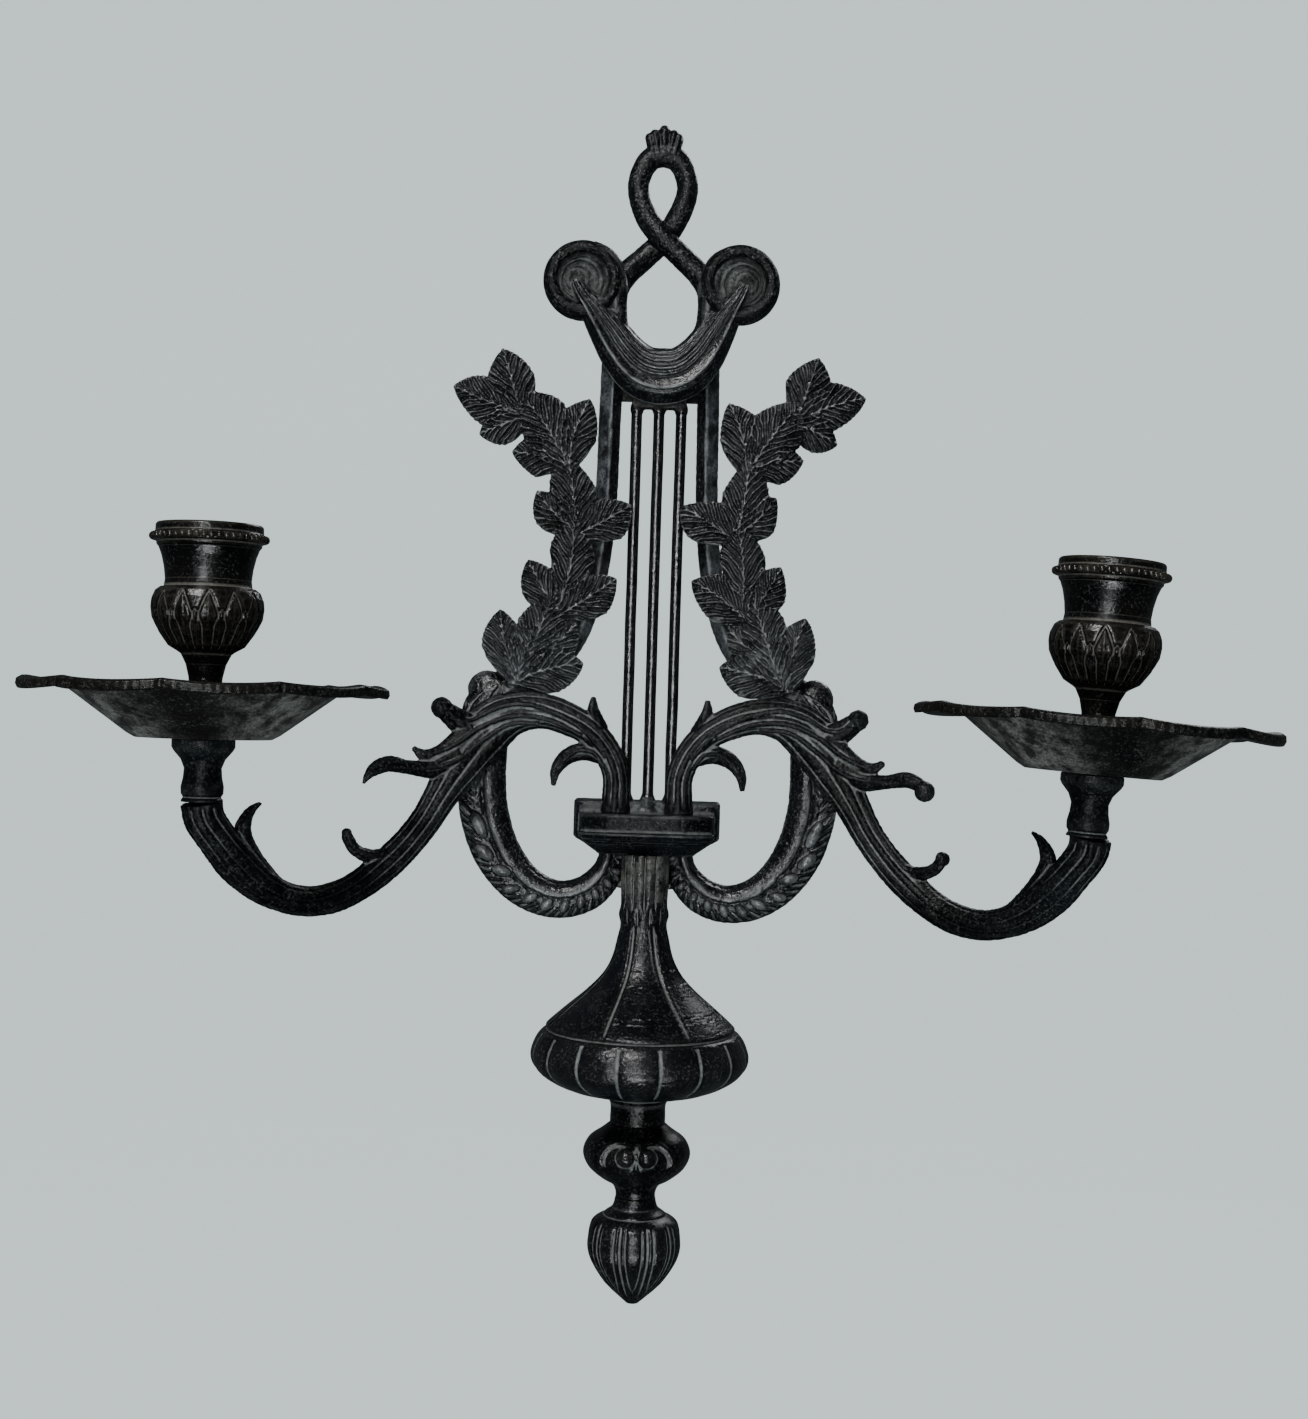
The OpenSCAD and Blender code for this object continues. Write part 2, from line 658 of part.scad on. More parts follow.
module pan(side) {
    color(dark) at_seat(side) difference() {
        rotate_extrude()
            polygon([[0, pan_low], [pan_flat_r, pan_low], [pan_cone_r, pan_high],
                [pan_rim_r - 3, pan_high + 0.6], [pan_rim_r, pan_high - 0.6],
                [pan_rim_r, pan_high + 1.8], [pan_rim_r - 3, pan_high + 2.2],
                [pan_cone_r - 0.4, pan_high + pan_wall], [pan_flat_r - 0.4, pan_low + pan_wall],
                [0, pan_low + pan_wall]]);
        // notches between the scallops
        for (i = [0:pan_lobes - 1])
            rotate(360 * i / pan_lobes)
                translate([pan_rim_r - notch_deep + notch_r, 0, 0])
                    cylinder(r = notch_r, h = 30, $fn = small);
        translate([0, 0, -1])
            cylinder(r = stud_r + 0.3, h = 5, $fn = small);
    }
}

module left_drip_pan() { pan(left); }
module right_drip_pan() { pan(right); }

cup_low = pan_low + pan_wall + face_gap;

// outside of the cup above its foot, as [radius, height over the collar]
cup_edge = [
    [9, cup_low], [8.4, 2.6], [6.6, 4.6], [5.2, 8], [4.7, 11.5], [4.7, 15], [5, 18.2], [5.9, 22], [7.4, 25], [11.1, 27.2],
    [14.2, 31.8], [16, 35.6], [16.4, 38.6], [16.2, 41.5], [15.2, 43.8], [13, 44.5], [12.8, 47], [13.3, 50.5],
    [14.3, 54], [15.5, 56.8], [16.4, 58.2], [17.3, 59], [17.3, 61], [16, 61.8], [15.7, 62.2], [15.7, 64.3]];

module cup(side) {
    top = cup_edge[len(cup_edge) - 1][1];
    color(dark) at_seat(side) difference() {
        rotate_extrude()
            polygon(closed_edge(cup_edge));
        translate([0, 0, top - candle_deep])
            cylinder(r = candle_r, h = candle_deep + 1);
        translate([0, 0, cup_low - 1])
            cylinder(r = stud_r, h = stud_high - cup_low + 1, $fn = small);
    }
}

module left_candle_cup() { cup(left); }
module right_candle_cup() { cup(right); }

module stud(side) {
    color(steel) at_seat(side)
        translate([0, 0, -stud_low])
            cylinder(r = stud_r, h = stud_low + stud_high, $fn = small);
}

module left_cup_stud() { stud(left); }
module right_cup_stud() { stud(right); }

lyre_frame();
hanger_plate();
swag_drape();
drape_screws();
string_left();
string_centre();
string_right();
base_block();
vase_body();
frame_screw();
lower_knop();
bud_finial();
tie_rod();
left_arm();
right_arm();
arm_root_pins();
arm_screws();
left_laurel();
right_laurel();
laurel_screws();
left_arm_collar();
right_arm_collar();
left_drip_pan();
right_drip_pan();
left_candle_cup();
right_candle_cup();
left_cup_stud();
right_cup_stud();
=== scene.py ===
"""Looks for the lyre wall sconce: detailed castings and a dark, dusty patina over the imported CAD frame.

Sizes are in millimetres and heights are measured from the hanging hole, as in the CAD; MM turns them into
metres. The stage, the lights and the camera are in metres. Fronts face -Y. A shape given for a positive x is
multiplied by its side, -1 for the viewer's left and 1 for the right.
"""

import math

import bpy
import numpy as np
from mathutils import Matrix, Vector


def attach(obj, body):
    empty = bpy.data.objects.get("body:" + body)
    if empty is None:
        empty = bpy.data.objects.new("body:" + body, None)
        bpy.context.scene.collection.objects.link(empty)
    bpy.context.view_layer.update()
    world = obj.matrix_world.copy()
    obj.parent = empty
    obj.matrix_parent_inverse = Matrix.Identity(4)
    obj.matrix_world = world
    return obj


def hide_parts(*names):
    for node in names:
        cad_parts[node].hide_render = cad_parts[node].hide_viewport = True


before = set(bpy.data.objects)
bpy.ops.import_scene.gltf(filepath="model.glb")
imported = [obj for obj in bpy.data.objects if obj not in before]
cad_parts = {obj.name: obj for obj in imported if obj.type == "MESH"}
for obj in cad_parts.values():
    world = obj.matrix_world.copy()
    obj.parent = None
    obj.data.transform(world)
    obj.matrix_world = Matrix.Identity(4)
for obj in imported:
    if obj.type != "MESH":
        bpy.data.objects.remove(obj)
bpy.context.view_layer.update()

MM = 0.001
LEFT, RIGHT = -1, 1
SIDE_NAME = {LEFT: "left", RIGHT: "right"}

# ---- dimensions

SEAT_X = 132
SEAT_OUT = 76
SEAT_Z = -122.7
RIGHT_SAG = 2.5
SHOULDER_X = 54
ARM_BEND_X = 50
ARM_ROOT_Y = -14
STEM_OUT = 12
STRING_R = 1.82
STRING_STEP = 7.4
STRING_OUT = 5
BLOCK_TOP = -140.3
BLOCK_LOW = -157.8
DRAPE_BACK = -8
SPRAY_BACK = -9.5


# ---- curves and meshes


def smooth(rows, step):
    """A smooth curve through the rows, with a row about every step millimetres; all columns are kept."""
    p = np.array(rows, float)
    q = np.vstack([p[0], p, p[-1]])
    out = []
    for i in range(len(p) - 1):
        a, b, c, d = q[i : i + 4]
        n = max(2, int(round(np.linalg.norm(c[:3] - b[:3]) / step)))
        t = (np.arange(n) / n)[:, None]
        square, cube = 2 * a - 5 * b + 4 * c - d, 3 * b - a - 3 * c + d
        out.append(0.5 * (2 * b + (c - a) * t + square * t**2 + cube * t**3))
    return np.vstack(out + [p[-1:]])


def unit(v):
    return v / np.maximum(np.linalg.norm(v, axis=-1, keepdims=True), 1e-9)


def lengths(p):
    """The length along a line of points, up to each of them."""
    return np.concatenate([[0], np.cumsum(np.linalg.norm(np.diff(p, axis=0), axis=1))])


def oval(angle, power):
    """Two columns of a section with radius 1: 2 is round, more is squarer and 1 is roof-like."""
    c, d = np.cos(angle), np.sin(angle)
    return np.sign(c) * np.abs(c) ** (2 / power), np.sign(d) * np.abs(d) ** (2 / power)


def grid_faces(n, m, wrap=True):
    """Quads of n rows of m points; wrap closes each row into a ring."""
    i, k = np.meshgrid(np.arange(n - 1), np.arange(m if wrap else m - 1), indexing="ij")
    j = (k + 1) % m
    return np.stack([i * m + k, i * m + j, (i + 1) * m + j, (i + 1) * m + k], -1).reshape(-1, 4)


def ring_ends(n, m, first, last):
    """Fans that close the first and last ring onto the points numbered first and last."""
    k = np.arange(m)
    j = (k + 1) % m
    low = np.stack([np.full(m, first), j, k], -1)
    high = np.stack([np.full(m, last), (n - 1) * m + k, (n - 1) * m + j], -1)
    return np.vstack([low, high])


def tube(rows, around=32, back=None, power=2.0, relief=None):
    """Closed solid along rows of (x, y, z, half width, half depth), as (points, faces).
    back flattens it at that y, and power shapes its section. relief(s, q, front) is an outward offset at
    length s; q runs from -1 to 1 across the side direction, and front from 0 at the edges to 1 in front."""
    rows = np.asarray(rows, float)
    n, p = len(rows), rows[:, :3]
    t = unit(np.gradient(p, axis=0))
    side = unit(np.cross(t, [0, 1, 0]))
    deep = np.cross(side, t)
    angle = 2 * np.pi * np.arange(around) / around
    c, d = np.cos(angle), np.sin(angle)
    u, v = oval(angle, power)
    x, y = rows[:, 3:4] * u, rows[:, 4:5] * v
    if relief is not None:
        front = np.broadcast_to(np.clip(-d, 0, 1), x.shape)
        lift = relief(lengths(p)[:, None], np.broadcast_to(c, x.shape), front)
        x = x + lift * c
        y = y + lift * d
    pts = p[:, None, :] + side[:, None, :] * x[..., None] + deep[:, None, :] * y[..., None]
    if back is not None:
        pts[..., 1] = np.minimum(pts[..., 1], back)
    pts = pts.reshape(-1, 3)
    ends = np.vstack([p[0], p[-1]])
    faces = [grid_faces(n, around)[:, ::-1], ring_ends(n, around, n * around, n * around + 1)[:, ::-1]]
    return outward((np.vstack([pts, ends]), faces))


def lathe(profile, around=192, step=0.5, relief=None, closed=True):
    """Turned solid about the z axis from (radius, height) rows; a ring unless it is closed on the axis.
    relief(height, angle, radius) is an outward offset; angle 0 faces -Y and grows towards +X."""
    p = np.array(profile, float)
    length = lengths(p)
    at = np.unique(np.concatenate([np.arange(0, length[-1], step), length]))
    r, h = np.interp(at, length, p[:, 0]), np.interp(at, length, p[:, 1])
    turn = 2 * np.pi * np.arange(around) / around
    rr = np.broadcast_to(r[:, None], (len(r), around)).copy()
    hh = np.broadcast_to(h[:, None], rr.shape)
    if relief is not None:
        rr = rr + relief(hh, np.broadcast_to(turn, rr.shape), rr) * np.clip(rr / 2, 0, 1)
    pts = np.stack([rr * np.sin(turn), -rr * np.cos(turn), hh], -1).reshape(-1, 3)
    n = len(r)
    faces = [grid_faces(n, around)]
    if closed:
        pts = np.vstack([pts, [0, 0, h[0]], [0, 0, h[-1]]])
        faces.append(ring_ends(n, around, n * around, n * around + 1))
    else:
        k = np.arange(around)
        j = (k + 1) % around
        faces.append(np.stack([(n - 1) * around + k, (n - 1) * around + j, j, k], -1))
    return outward((pts, faces))


def rounded(rows, step=0.5):
    """A smooth profile through (radius, height) rows."""
    three = [[r, 0, h] for r, h in rows]
    out = smooth(three, step)[:, [0, 2]]
    out[:, 0] = np.maximum(out[:, 0], 0)
    return out


def outward(part):
    """The same closed part with its faces turned so that it holds a positive volume."""
    pts, faces = part
    volume = 0.0
    for group in faces:
        a, b = pts[group[:, 0]], pts[group[:, 1]]
        for k in range(2, group.shape[1]):
            c = pts[group[:, k]]
            volume += np.einsum("ij,ij->", a, np.cross(b, c))
            b = c
    return part if volume > 0 else (pts, [group[:, ::-1] for group in faces])


def blob(x, y, z, rx, ry, rz, turn=0.0):
    """A ball with three radii, turned by degrees in the plane of the wall."""
    rows = [[max(0.01, math.sin(a)), -math.cos(a)] for a in np.linspace(0, math.pi, 15)]
    pts, faces = lathe(np.array(rows), 28, 10)
    x_, y_, z_ = pts[:, 0] * rx, pts[:, 1] * ry, pts[:, 2] * rz
    c, d = math.cos(math.radians(turn)), math.sin(math.radians(turn))
    return np.stack([x + c * x_ + d * z_, y + y_, z - d * x_ + c * z_], -1), faces


def pad(x, z, radius, back, front, around, step):
    """A round boss from y = back to y = front, with its axis towards the viewer."""
    pts, faces = lathe([[0.01, 0], [radius, 0], [radius, back - front], [0.01, back - front]], around, step)
    return outward((np.stack([x + pts[:, 0], back - pts[:, 2], z + pts[:, 1]], -1), faces))


def mirror_x(part):
    pts, faces = part
    return pts * [-1, 1, 1], [f[:, ::-1] for f in faces]


def joined(parts):
    """One (points, faces) from several."""
    pts, faces, base = [], [], 0
    for p, fs in parts:
        pts.append(p)
        faces += [f + base for f in fs]
        base += len(p)
    return np.vstack(pts), faces


def mesh_object(name, part):
    """A Blender object from points in millimetres."""
    pts, faces = part
    flat = [f.tolist() for group in faces for f in group]
    mesh = bpy.data.meshes.new(name)
    mesh.from_pydata((pts * MM).tolist(), [], flat)
    mesh.validate()
    obj = bpy.data.objects.new(name, mesh)
    bpy.context.scene.collection.objects.link(obj)
    return obj


def applied(obj):
    """The object with its modifiers turned into mesh."""
    deps = bpy.context.evaluated_depsgraph_get()
    deps.update()
    mesh = bpy.data.meshes.new_from_object(obj.evaluated_get(deps))
    obj.modifiers.clear()
    old = obj.data
    obj.data = mesh
    bpy.data.meshes.remove(old)
    return obj


def fuse(obj, voxel, rounds):
    """Melts overlapping solids into one casting with small fillets."""
    remesh = obj.modifiers.new("fuse", "REMESH")
    remesh.mode = "VOXEL"
    remesh.voxel_size = voxel * MM
    ease = obj.modifiers.new("ease", "SMOOTH")
    ease.factor = 0.5
    ease.iterations = rounds
    return applied(obj)


def at_points(mesh, kind):
    """The places ("co") or normals ("normal") of a mesh's points, three columns wide."""
    values = np.empty(len(mesh.vertices) * 3, np.float32)
    mesh.vertices.foreach_get(kind, values)
    return values.reshape(-1, 3)


def edge_ends(mesh):
    """The two point numbers of each edge, and how many edges meet at each point."""
    edges = np.empty(len(mesh.edges) * 2, np.int32)
    mesh.edges.foreach_get("vertices", edges)
    return edges.reshape(-1, 2), np.maximum(np.bincount(edges, minlength=len(mesh.vertices)), 1)


def store(mesh, name, values):
    layer = mesh.attributes.new(name, "FLOAT", "POINT")
    layer.data.foreach_set("value", values.astype(np.float32))


def neighbour_mean(values, edges, count):
    """The mean of the values at the points that share an edge with each point."""
    a, b = edges.T
    n = len(values)
    total = [np.bincount(a, column[b], n) + np.bincount(b, column[a], n) for column in values.T]
    return np.stack(total, -1) / count[:, None]


def mark_hollows(obj, reach=0.9, depth=0.09, keep=None):
    """Stores how far each point lies under its smoothed surface, from -1 on crests to 1 in grooves.
    reach is the size in millimetres of the grooves that count, and depth the offset that counts as full;
    keep gives the share that is kept, from points in millimetres."""
    mesh = obj.data
    co = at_points(mesh, "co").astype(float) / MM
    edges, count = edge_ends(mesh)
    edge = np.median(np.linalg.norm(co[edges[:, 0]] - co[edges[:, 1]], axis=1))
    rounds = int(np.clip((reach / max(edge, 0.05)) ** 2 * 2, 3, 60))
    soft = co
    for _ in range(rounds):
        soft = 0.5 * soft + 0.5 * neighbour_mean(soft, edges, count)
    under = np.einsum("ij,ij->i", soft - co, at_points(mesh, "normal")) / depth
    under = np.clip(under, -1, 1)[:, None]
    for _ in range(2):
        under = 0.5 * under + 0.5 * neighbour_mean(under, edges, count)
    store(mesh, "hollow", under[:, 0] if keep is None else under[:, 0] * keep(co))


def roughen(obj, amount):
    """Gives the surface the uneven skin of a sand casting, amount millimetres high."""
    mesh = obj.data
    co = at_points(mesh, "co").astype(float)
    edges, count = edge_ends(mesh)
    lump = np.random.default_rng(len(co)).normal(0, 1, (len(co), 1))
    wide = lump
    for _ in range(6):
        wide = 0.3 * wide + 0.7 * neighbour_mean(wide, edges, count)
    fine = 0.4 * lump + 0.6 * neighbour_mean(lump, edges, count)
    lump = 0.9 * wide / wide.std() + 0.6 * fine / fine.std()
    co += at_points(mesh, "normal") * np.clip(lump, -2.2, 1.4) * amount * MM
    mesh.vertices.foreach_set("co", co.astype(np.float32).ravel())
    mesh.update()


def mark_bloom_and_sheen(obj, share):
    """Stores where a pale coat lies on the surface, real dust and polish on some pieces and painted sheen and
    reflection on others; share gives it from points in millimetres and normals.
    """
    mesh = obj.data
    pts = at_points(mesh, "co").astype(float) / MM
    store(mesh, "bloom_and_sheen", np.clip(share(pts, at_points(mesh, "normal")), 0, 1))


def step_up(value, low, high):
    """0 below low and 1 above high, straight between."""
    return np.clip((value - low) / (high - low), 0, 1)


def finish_piece(name, part, node, material, body="sconce_body", fused=0.0, ease=2, reach=0.9,
                 depth=0.09, skin=0.0, bloom_and_sheen=None, keep=None):
    """A finished piece that stands for a CAD node. fused is the voxel size that melts its solids together,
    and skin the height of its cast roughness; 0 leaves either out."""
    obj = mesh_object(name, part)
    if fused:
        fuse(obj, fused, ease)
    obj.data.shade_smooth()
    mark_hollows(obj, reach, depth, keep)
    if bloom_and_sheen:
        mark_bloom_and_sheen(obj, bloom_and_sheen)
    if skin:
        roughen(obj, skin)
    obj.data.materials.append(material)
    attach(obj, body)
    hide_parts(node)
    return obj


# ---- materials


def new_material(name):
    mat = bpy.data.materials.new(name)
    mat.use_nodes = True
    return mat, mat.node_tree.nodes, mat.node_tree.links.new, mat.node_tree.nodes["Principled BSDF"]


def ramp(nodes, points):
    """Grey levels between 0 and 1 at places between 0 and 1."""
    node = nodes.new("ShaderNodeValToRGB")
    stops = node.color_ramp.elements
    while len(stops) < len(points):
        stops.new(0.5)
    for stop, (at, level) in zip(stops, points):
        stop.position = at
        stop.color = (level, level, level, 1)
    return node


def patina(name, second, dust, wear_and_glint, grain, rough, dust_colour=(0.13, 0.14, 0.137), shine=0.2,
           wear_and_glint_colour=(0.035, 0.032, 0.028), bloom_and_sheen_colour=(0.045, 0.050, 0.050)):
    """Dark chemical patina on cast brass, in clouds of BLACK and a second colour. dust is the share of pale
    dust and old polish in the grooves, the next share how much crests are lightened, partly as worn metal and
    partly as painted glints, and grain how strong the cast skin and its painted glint specks are."""
    mat, nodes, link, shader = new_material(name)
    place = nodes.new("ShaderNodeTexCoord").outputs["Object"]

    def noise(scale, detail, uneven):
        node = nodes.new("ShaderNodeTexNoise")
        node.inputs["Scale"].default_value = scale
        node.inputs["Detail"].default_value = detail
        node.inputs["Roughness"].default_value = uneven
        link(place, node.inputs["Vector"])
        return node.outputs["Fac"]

    def math_node(kind, a, b=None, c=None, clamp=False):
        node = nodes.new("ShaderNodeMath")
        node.operation = kind
        node.use_clamp = clamp
        for socket, value in zip(node.inputs, (a, b, c)):
            if value is None:
                continue
            if isinstance(value, (int, float)):
                socket.default_value = value
            else:
                link(value, socket)
        return node.outputs[0]

    def shade(value, points):
        node = ramp(nodes, points)
        link(value, node.inputs["Fac"])
        return node.outputs["Color"]

    def mix(share, a, b):
        node = nodes.new("ShaderNodeMix")
        node.data_type = "RGBA"
        link(share, node.inputs["Factor"])
        for socket, value in ((node.inputs["A"], a), (node.inputs["B"], b)):
            if isinstance(value, tuple):
                socket.default_value = (*value, 1)
            else:
                link(value, socket)
        return node.outputs["Result"]

    hollow = nodes.new("ShaderNodeAttribute")
    hollow.attribute_name = "hollow"
    level = hollow.outputs["Fac"]
    cloud = noise(38, 5.0, 0.6)
    patch = noise(170, 5.0, 0.62)
    fine = noise(900, 4.0, 0.6)
    skin = noise(1250, 2.5, 0.65)
    film_and_sheen = nodes.new("ShaderNodeAttribute")
    film_and_sheen.attribute_name = "bloom_and_sheen"

    ground = mix(shade(cloud, [(0.4, 0.0), (0.62, 1.0)]), BLACK, second)
    # The pale coat: dust and dried polish on some pieces, a painted side sheen on the bars and painted
    # reflections on the block's panel and the pans.
    veil_and_sheen = math_node("MULTIPLY", film_and_sheen.outputs["Fac"], shade(skin, [(0.36, 0.35), (0.6, 1.0)]))
    veil_and_sheen = math_node("MULTIPLY", veil_and_sheen, shade(patch, [(0.4, 0.12), (0.6, 1.0)]))
    ground = mix(veil_and_sheen, ground, bloom_and_sheen_colour)
    # Painted glints: fine pale specks in the colour that stand for sparkle of light on the cast grain.
    glint_speck = shade(skin, [(0.54, 0.0), (0.66, 1.0)])
    glint_speck = math_node("MULTIPLY", glint_speck, shade(patch, [(0.38, 0.12), (0.62, 1.0)]))
    ground = mix(math_node("MULTIPLY", glint_speck, 0.9 * grain), ground, GLINT_SPECK_GREY)

    # Crests are lightened, partly as worn metal and partly as painted glints where light catches the ridges.
    crest = math_node("SUBTRACT", 0.0, level)
    rubbed_and_glinting = shade(crest, [(0.4, 0.0), (0.95, 1.0)])
    rubbed_and_glinting = math_node("MULTIPLY", rubbed_and_glinting, shade(patch, [(0.38, 0.15), (0.62, 1.0)]))
    ground = mix(math_node("MULTIPLY", rubbed_and_glinting, wear_and_glint, clamp=True), ground, wear_and_glint_colour)

    dusty = shade(level, [(0.28, 0.0), (0.8, 1.0)])
    dusty = math_node("MULTIPLY", dusty, shade(fine, [(0.3, 0.35), (0.62, 1.0)]))
    dusty = math_node("MULTIPLY", dusty, shade(cloud, [(0.36, 0.55), (0.6, 1.0)]))
    dusty = math_node("MULTIPLY", dusty, dust, clamp=True)
    colour = mix(dusty, ground, dust_colour)
    link(colour, shader.inputs["Base Color"])

    gloss = math_node("MULTIPLY_ADD", patch, 0.34, rough - 0.17)
    gloss = math_node("MULTIPLY_ADD", dusty, 0.4, gloss)
    gloss = math_node("MULTIPLY_ADD", veil_and_sheen, 0.15, gloss)
    gloss = math_node("MULTIPLY_ADD", rubbed_and_glinting, -0.1, gloss, clamp=True)
    link(gloss, shader.inputs["Roughness"])
    shader.inputs["Metallic"].default_value = 0.0
    shader.inputs["IOR"].default_value = 1.5
    shader.inputs["Specular IOR Level"].default_value = shine

    height = math_node("MULTIPLY_ADD", skin, 0.5, math_node("MULTIPLY", fine, 0.7))
    height = math_node("MULTIPLY_ADD", patch, 0.5, height)
    bump = nodes.new("ShaderNodeBump")
    bump.inputs["Strength"].default_value = 0.35 + 0.65 * grain
    bump.inputs["Distance"].default_value = 0.00034
    link(height, bump.inputs["Height"])
    link(bump.outputs["Normal"], shader.inputs["Normal"])
    return mat


BLACK = (0.0012, 0.0013, 0.0015)
COOL = (0.0036, 0.0044, 0.0060)
WARM = (0.0050, 0.0046, 0.0038)
# pale grey of the painted glint specks
GLINT_SPECK_GREY = (0.10, 0.104, 0.104)
# grey for worn crests, partly a painted glint
GREY_WEAR_AND_GLINT = (0.048, 0.050, 0.051)
# blue-grey: a real patina tint on the leaves and a painted side sheen on the bars
BLUE_BLOOM_AND_SHEEN = (0.075, 0.083, 0.091)
STONE_BLOOM = (0.100, 0.097, 0.088)
# The pale crest colours below are partly worn metal and partly painted glints.
frame_skin = patina("frame_patina", COOL, dust=0.2, wear_and_glint=1.0, grain=0.7, rough=0.24,
                    wear_and_glint_colour=(0.11, 0.115, 0.118), shine=0.45)
# The bars' pale coat is a painted side sheen, and their pale crest colour partly a painted ridge highlight.
bar_skin = patina("bar_patina", COOL, dust=0.3, wear_and_glint=0.9, grain=0.85, rough=0.32,
                  wear_and_glint_colour=(0.17, 0.178, 0.182), bloom_and_sheen_colour=BLUE_BLOOM_AND_SHEEN)
plate_skin = patina("plate_patina", WARM, dust=0.3, wear_and_glint=0.2, grain=0.6, rough=0.5)
drape_skin = patina("drape_patina", COOL, dust=0.15, wear_and_glint=1.0, grain=0.6, rough=0.25,
                    wear_and_glint_colour=(0.12, 0.125, 0.125), shine=0.35, bloom_and_sheen_colour=(0.05, 0.054, 0.052))
roll_skin = patina("roll_patina", COOL, dust=0.3, wear_and_glint=0.7, grain=0.9, rough=0.42,
                   wear_and_glint_colour=(0.08, 0.084, 0.084), shine=0.14, bloom_and_sheen_colour=(0.045, 0.048, 0.045))
string_skin = patina("string_patina", COOL, dust=0.2, wear_and_glint=0.4, grain=0.45, rough=0.2, wear_and_glint_colour=GREY_WEAR_AND_GLINT,
                     shine=0.95)
rail_skin = patina("rail_patina", WARM, dust=0.2, wear_and_glint=0.2, grain=0.6, rough=0.4)
# The block's pale coat is dust at the feet and a painted reflection on the panel.
block_skin = patina("block_patina", COOL, dust=0.6, wear_and_glint=0.45, grain=0.3, rough=0.2,
                    wear_and_glint_colour=(0.07, 0.074, 0.076), shine=0.12, bloom_and_sheen_colour=(0.085, 0.092, 0.095))
turned_skin = patina("turned_patina", COOL, dust=1.0, wear_and_glint=0.2, grain=0.45, rough=0.25,
                     dust_colour=(0.17, 0.18, 0.175), shine=0.3, bloom_and_sheen_colour=STONE_BLOOM)
arm_skin = patina("arm_patina", COOL, dust=1.0, wear_and_glint=0.25, grain=0.55, rough=0.34, wear_and_glint_colour=GREY_WEAR_AND_GLINT,
                  shine=0.1, dust_colour=(0.19, 0.20, 0.195))
leaf_skin = patina("laurel_patina", COOL, dust=0.1, wear_and_glint=1.0, grain=0.5, rough=0.26,
                   wear_and_glint_colour=(0.12, 0.124, 0.125), shine=0.36, bloom_and_sheen_colour=BLUE_BLOOM_AND_SHEEN)
# The pan's pale coat is painted reflected light on the dish's underside.
pan_skin = patina("pan_patina", WARM, dust=0.1, wear_and_glint=0.15, grain=0.45, rough=0.36,
                  bloom_and_sheen_colour=(0.15, 0.147, 0.138))
cup_skin = patina("cup_patina", WARM, dust=0.7, wear_and_glint=0.45, grain=0.3, rough=0.22,
                  dust_colour=(0.145, 0.14, 0.122), wear_and_glint_colour=(0.05, 0.045, 0.036), shine=0.32)


def steel(name):
    """Worn steel with darker and duller stains."""
    mat, nodes, link, shader = new_material(name)
    shader.inputs["Metallic"].default_value = 1.0
    where = nodes.new("ShaderNodeTexCoord")
    stain = nodes.new("ShaderNodeTexNoise")
    stain.inputs["Scale"].default_value = 700
    stain.inputs["Detail"].default_value = 6
    link(where.outputs["Object"], stain.inputs["Vector"])
    tone = nodes.new("ShaderNodeMix")
    tone.data_type = "RGBA"
    tone.inputs["A"].default_value = (0.10, 0.095, 0.085, 1)
    tone.inputs["B"].default_value = (0.30, 0.29, 0.27, 1)
    link(stain.outputs["Fac"], tone.inputs["Factor"])
    link(tone.outputs["Result"], shader.inputs["Base Color"])
    gloss = nodes.new("ShaderNodeMapRange")
    gloss.inputs["To Min"].default_value = 0.32
    gloss.inputs["To Max"].default_value = 0.62
    link(stain.outputs["Fac"], gloss.inputs["Value"])
    link(gloss.outputs["Result"], shader.inputs["Roughness"])
    return mat


steel_skin = steel("fixing_steel")

# ---- lyre frame

# rows of x, z, half width, half depth: half of the loop, the crossing and the long side bar on the right
BAR_LINE = [
    [1.5, 75.4, 4.0, 3.9], [-4.5, 73.6, 3.8, 3.9], [-7.9, 67, 3.6, 3.9], [-7.7, 60.6, 3.6, 3.9],
    [-4.6, 53.2, 3.8, 3.8], [0, 47.0, 3.8, 3.6], [6.4, 40.8, 3.9, 3.8], [12.4, 35.0, 4, 4],
    [15.6, 28.5, 3.9, 4.1], [15.9, 18, 3.7, 4.2], [16.0, 8, 3.7, 4.2], [16.4, -15, 3.7, 4.2],
    [16.8, -40, 3.7, 4.2], [18.1, -58, 3.7, 4.2], [20.6, -72, 3.7, 4.2], [24.4, -84, 3.8, 4.2],
    [30, -93, 4, 4.3], [38.5, -99.4, 4.8, 4.6], [48.5, -104.8, 6.2, 4.8],
]
SCROLL_LINE = [
    [30, -93, 3.8, 4.2], [38.5, -99.4, 4.7, 4.5], [48.5, -104.8, 6.8, 4.8], [54.4, -112, 8.2, 4.9],
    [55.2, -124, 8.0, 4.9], [55.4, -136, 8.1, 4.9], [54.4, -146, 8.2, 4.9], [50.6, -157.5, 8, 4.9],
    [44, -167, 7.4, 4.9], [36, -172.6, 6.8, 4.9], [27.5, -174.3, 6.3, 4.9], [19.3, -171.9, 6.1, 4.9],
    [13.4, -166.2, 5.4, 4.8], [11.2, -160.5, 4.8, 4.6], [10.9, -156.4, 5.2, 4.5],
]
LOOP_SHIFT = -1.0
BAR_Y = -3.8
SCROLL_Y = -4


def bar_rows(side):
    rows = []
    for x, z, a, b in BAR_LINE:
        lift = side * 2.2 * math.exp(-(((z - 45) / 7) ** 2))
        y = SCROLL_Y if z < -95 else BAR_Y - lift
        rows.append([side * x + LOOP_SHIFT * step_up(z, 36, 52), y, z, a, b])
    return rows


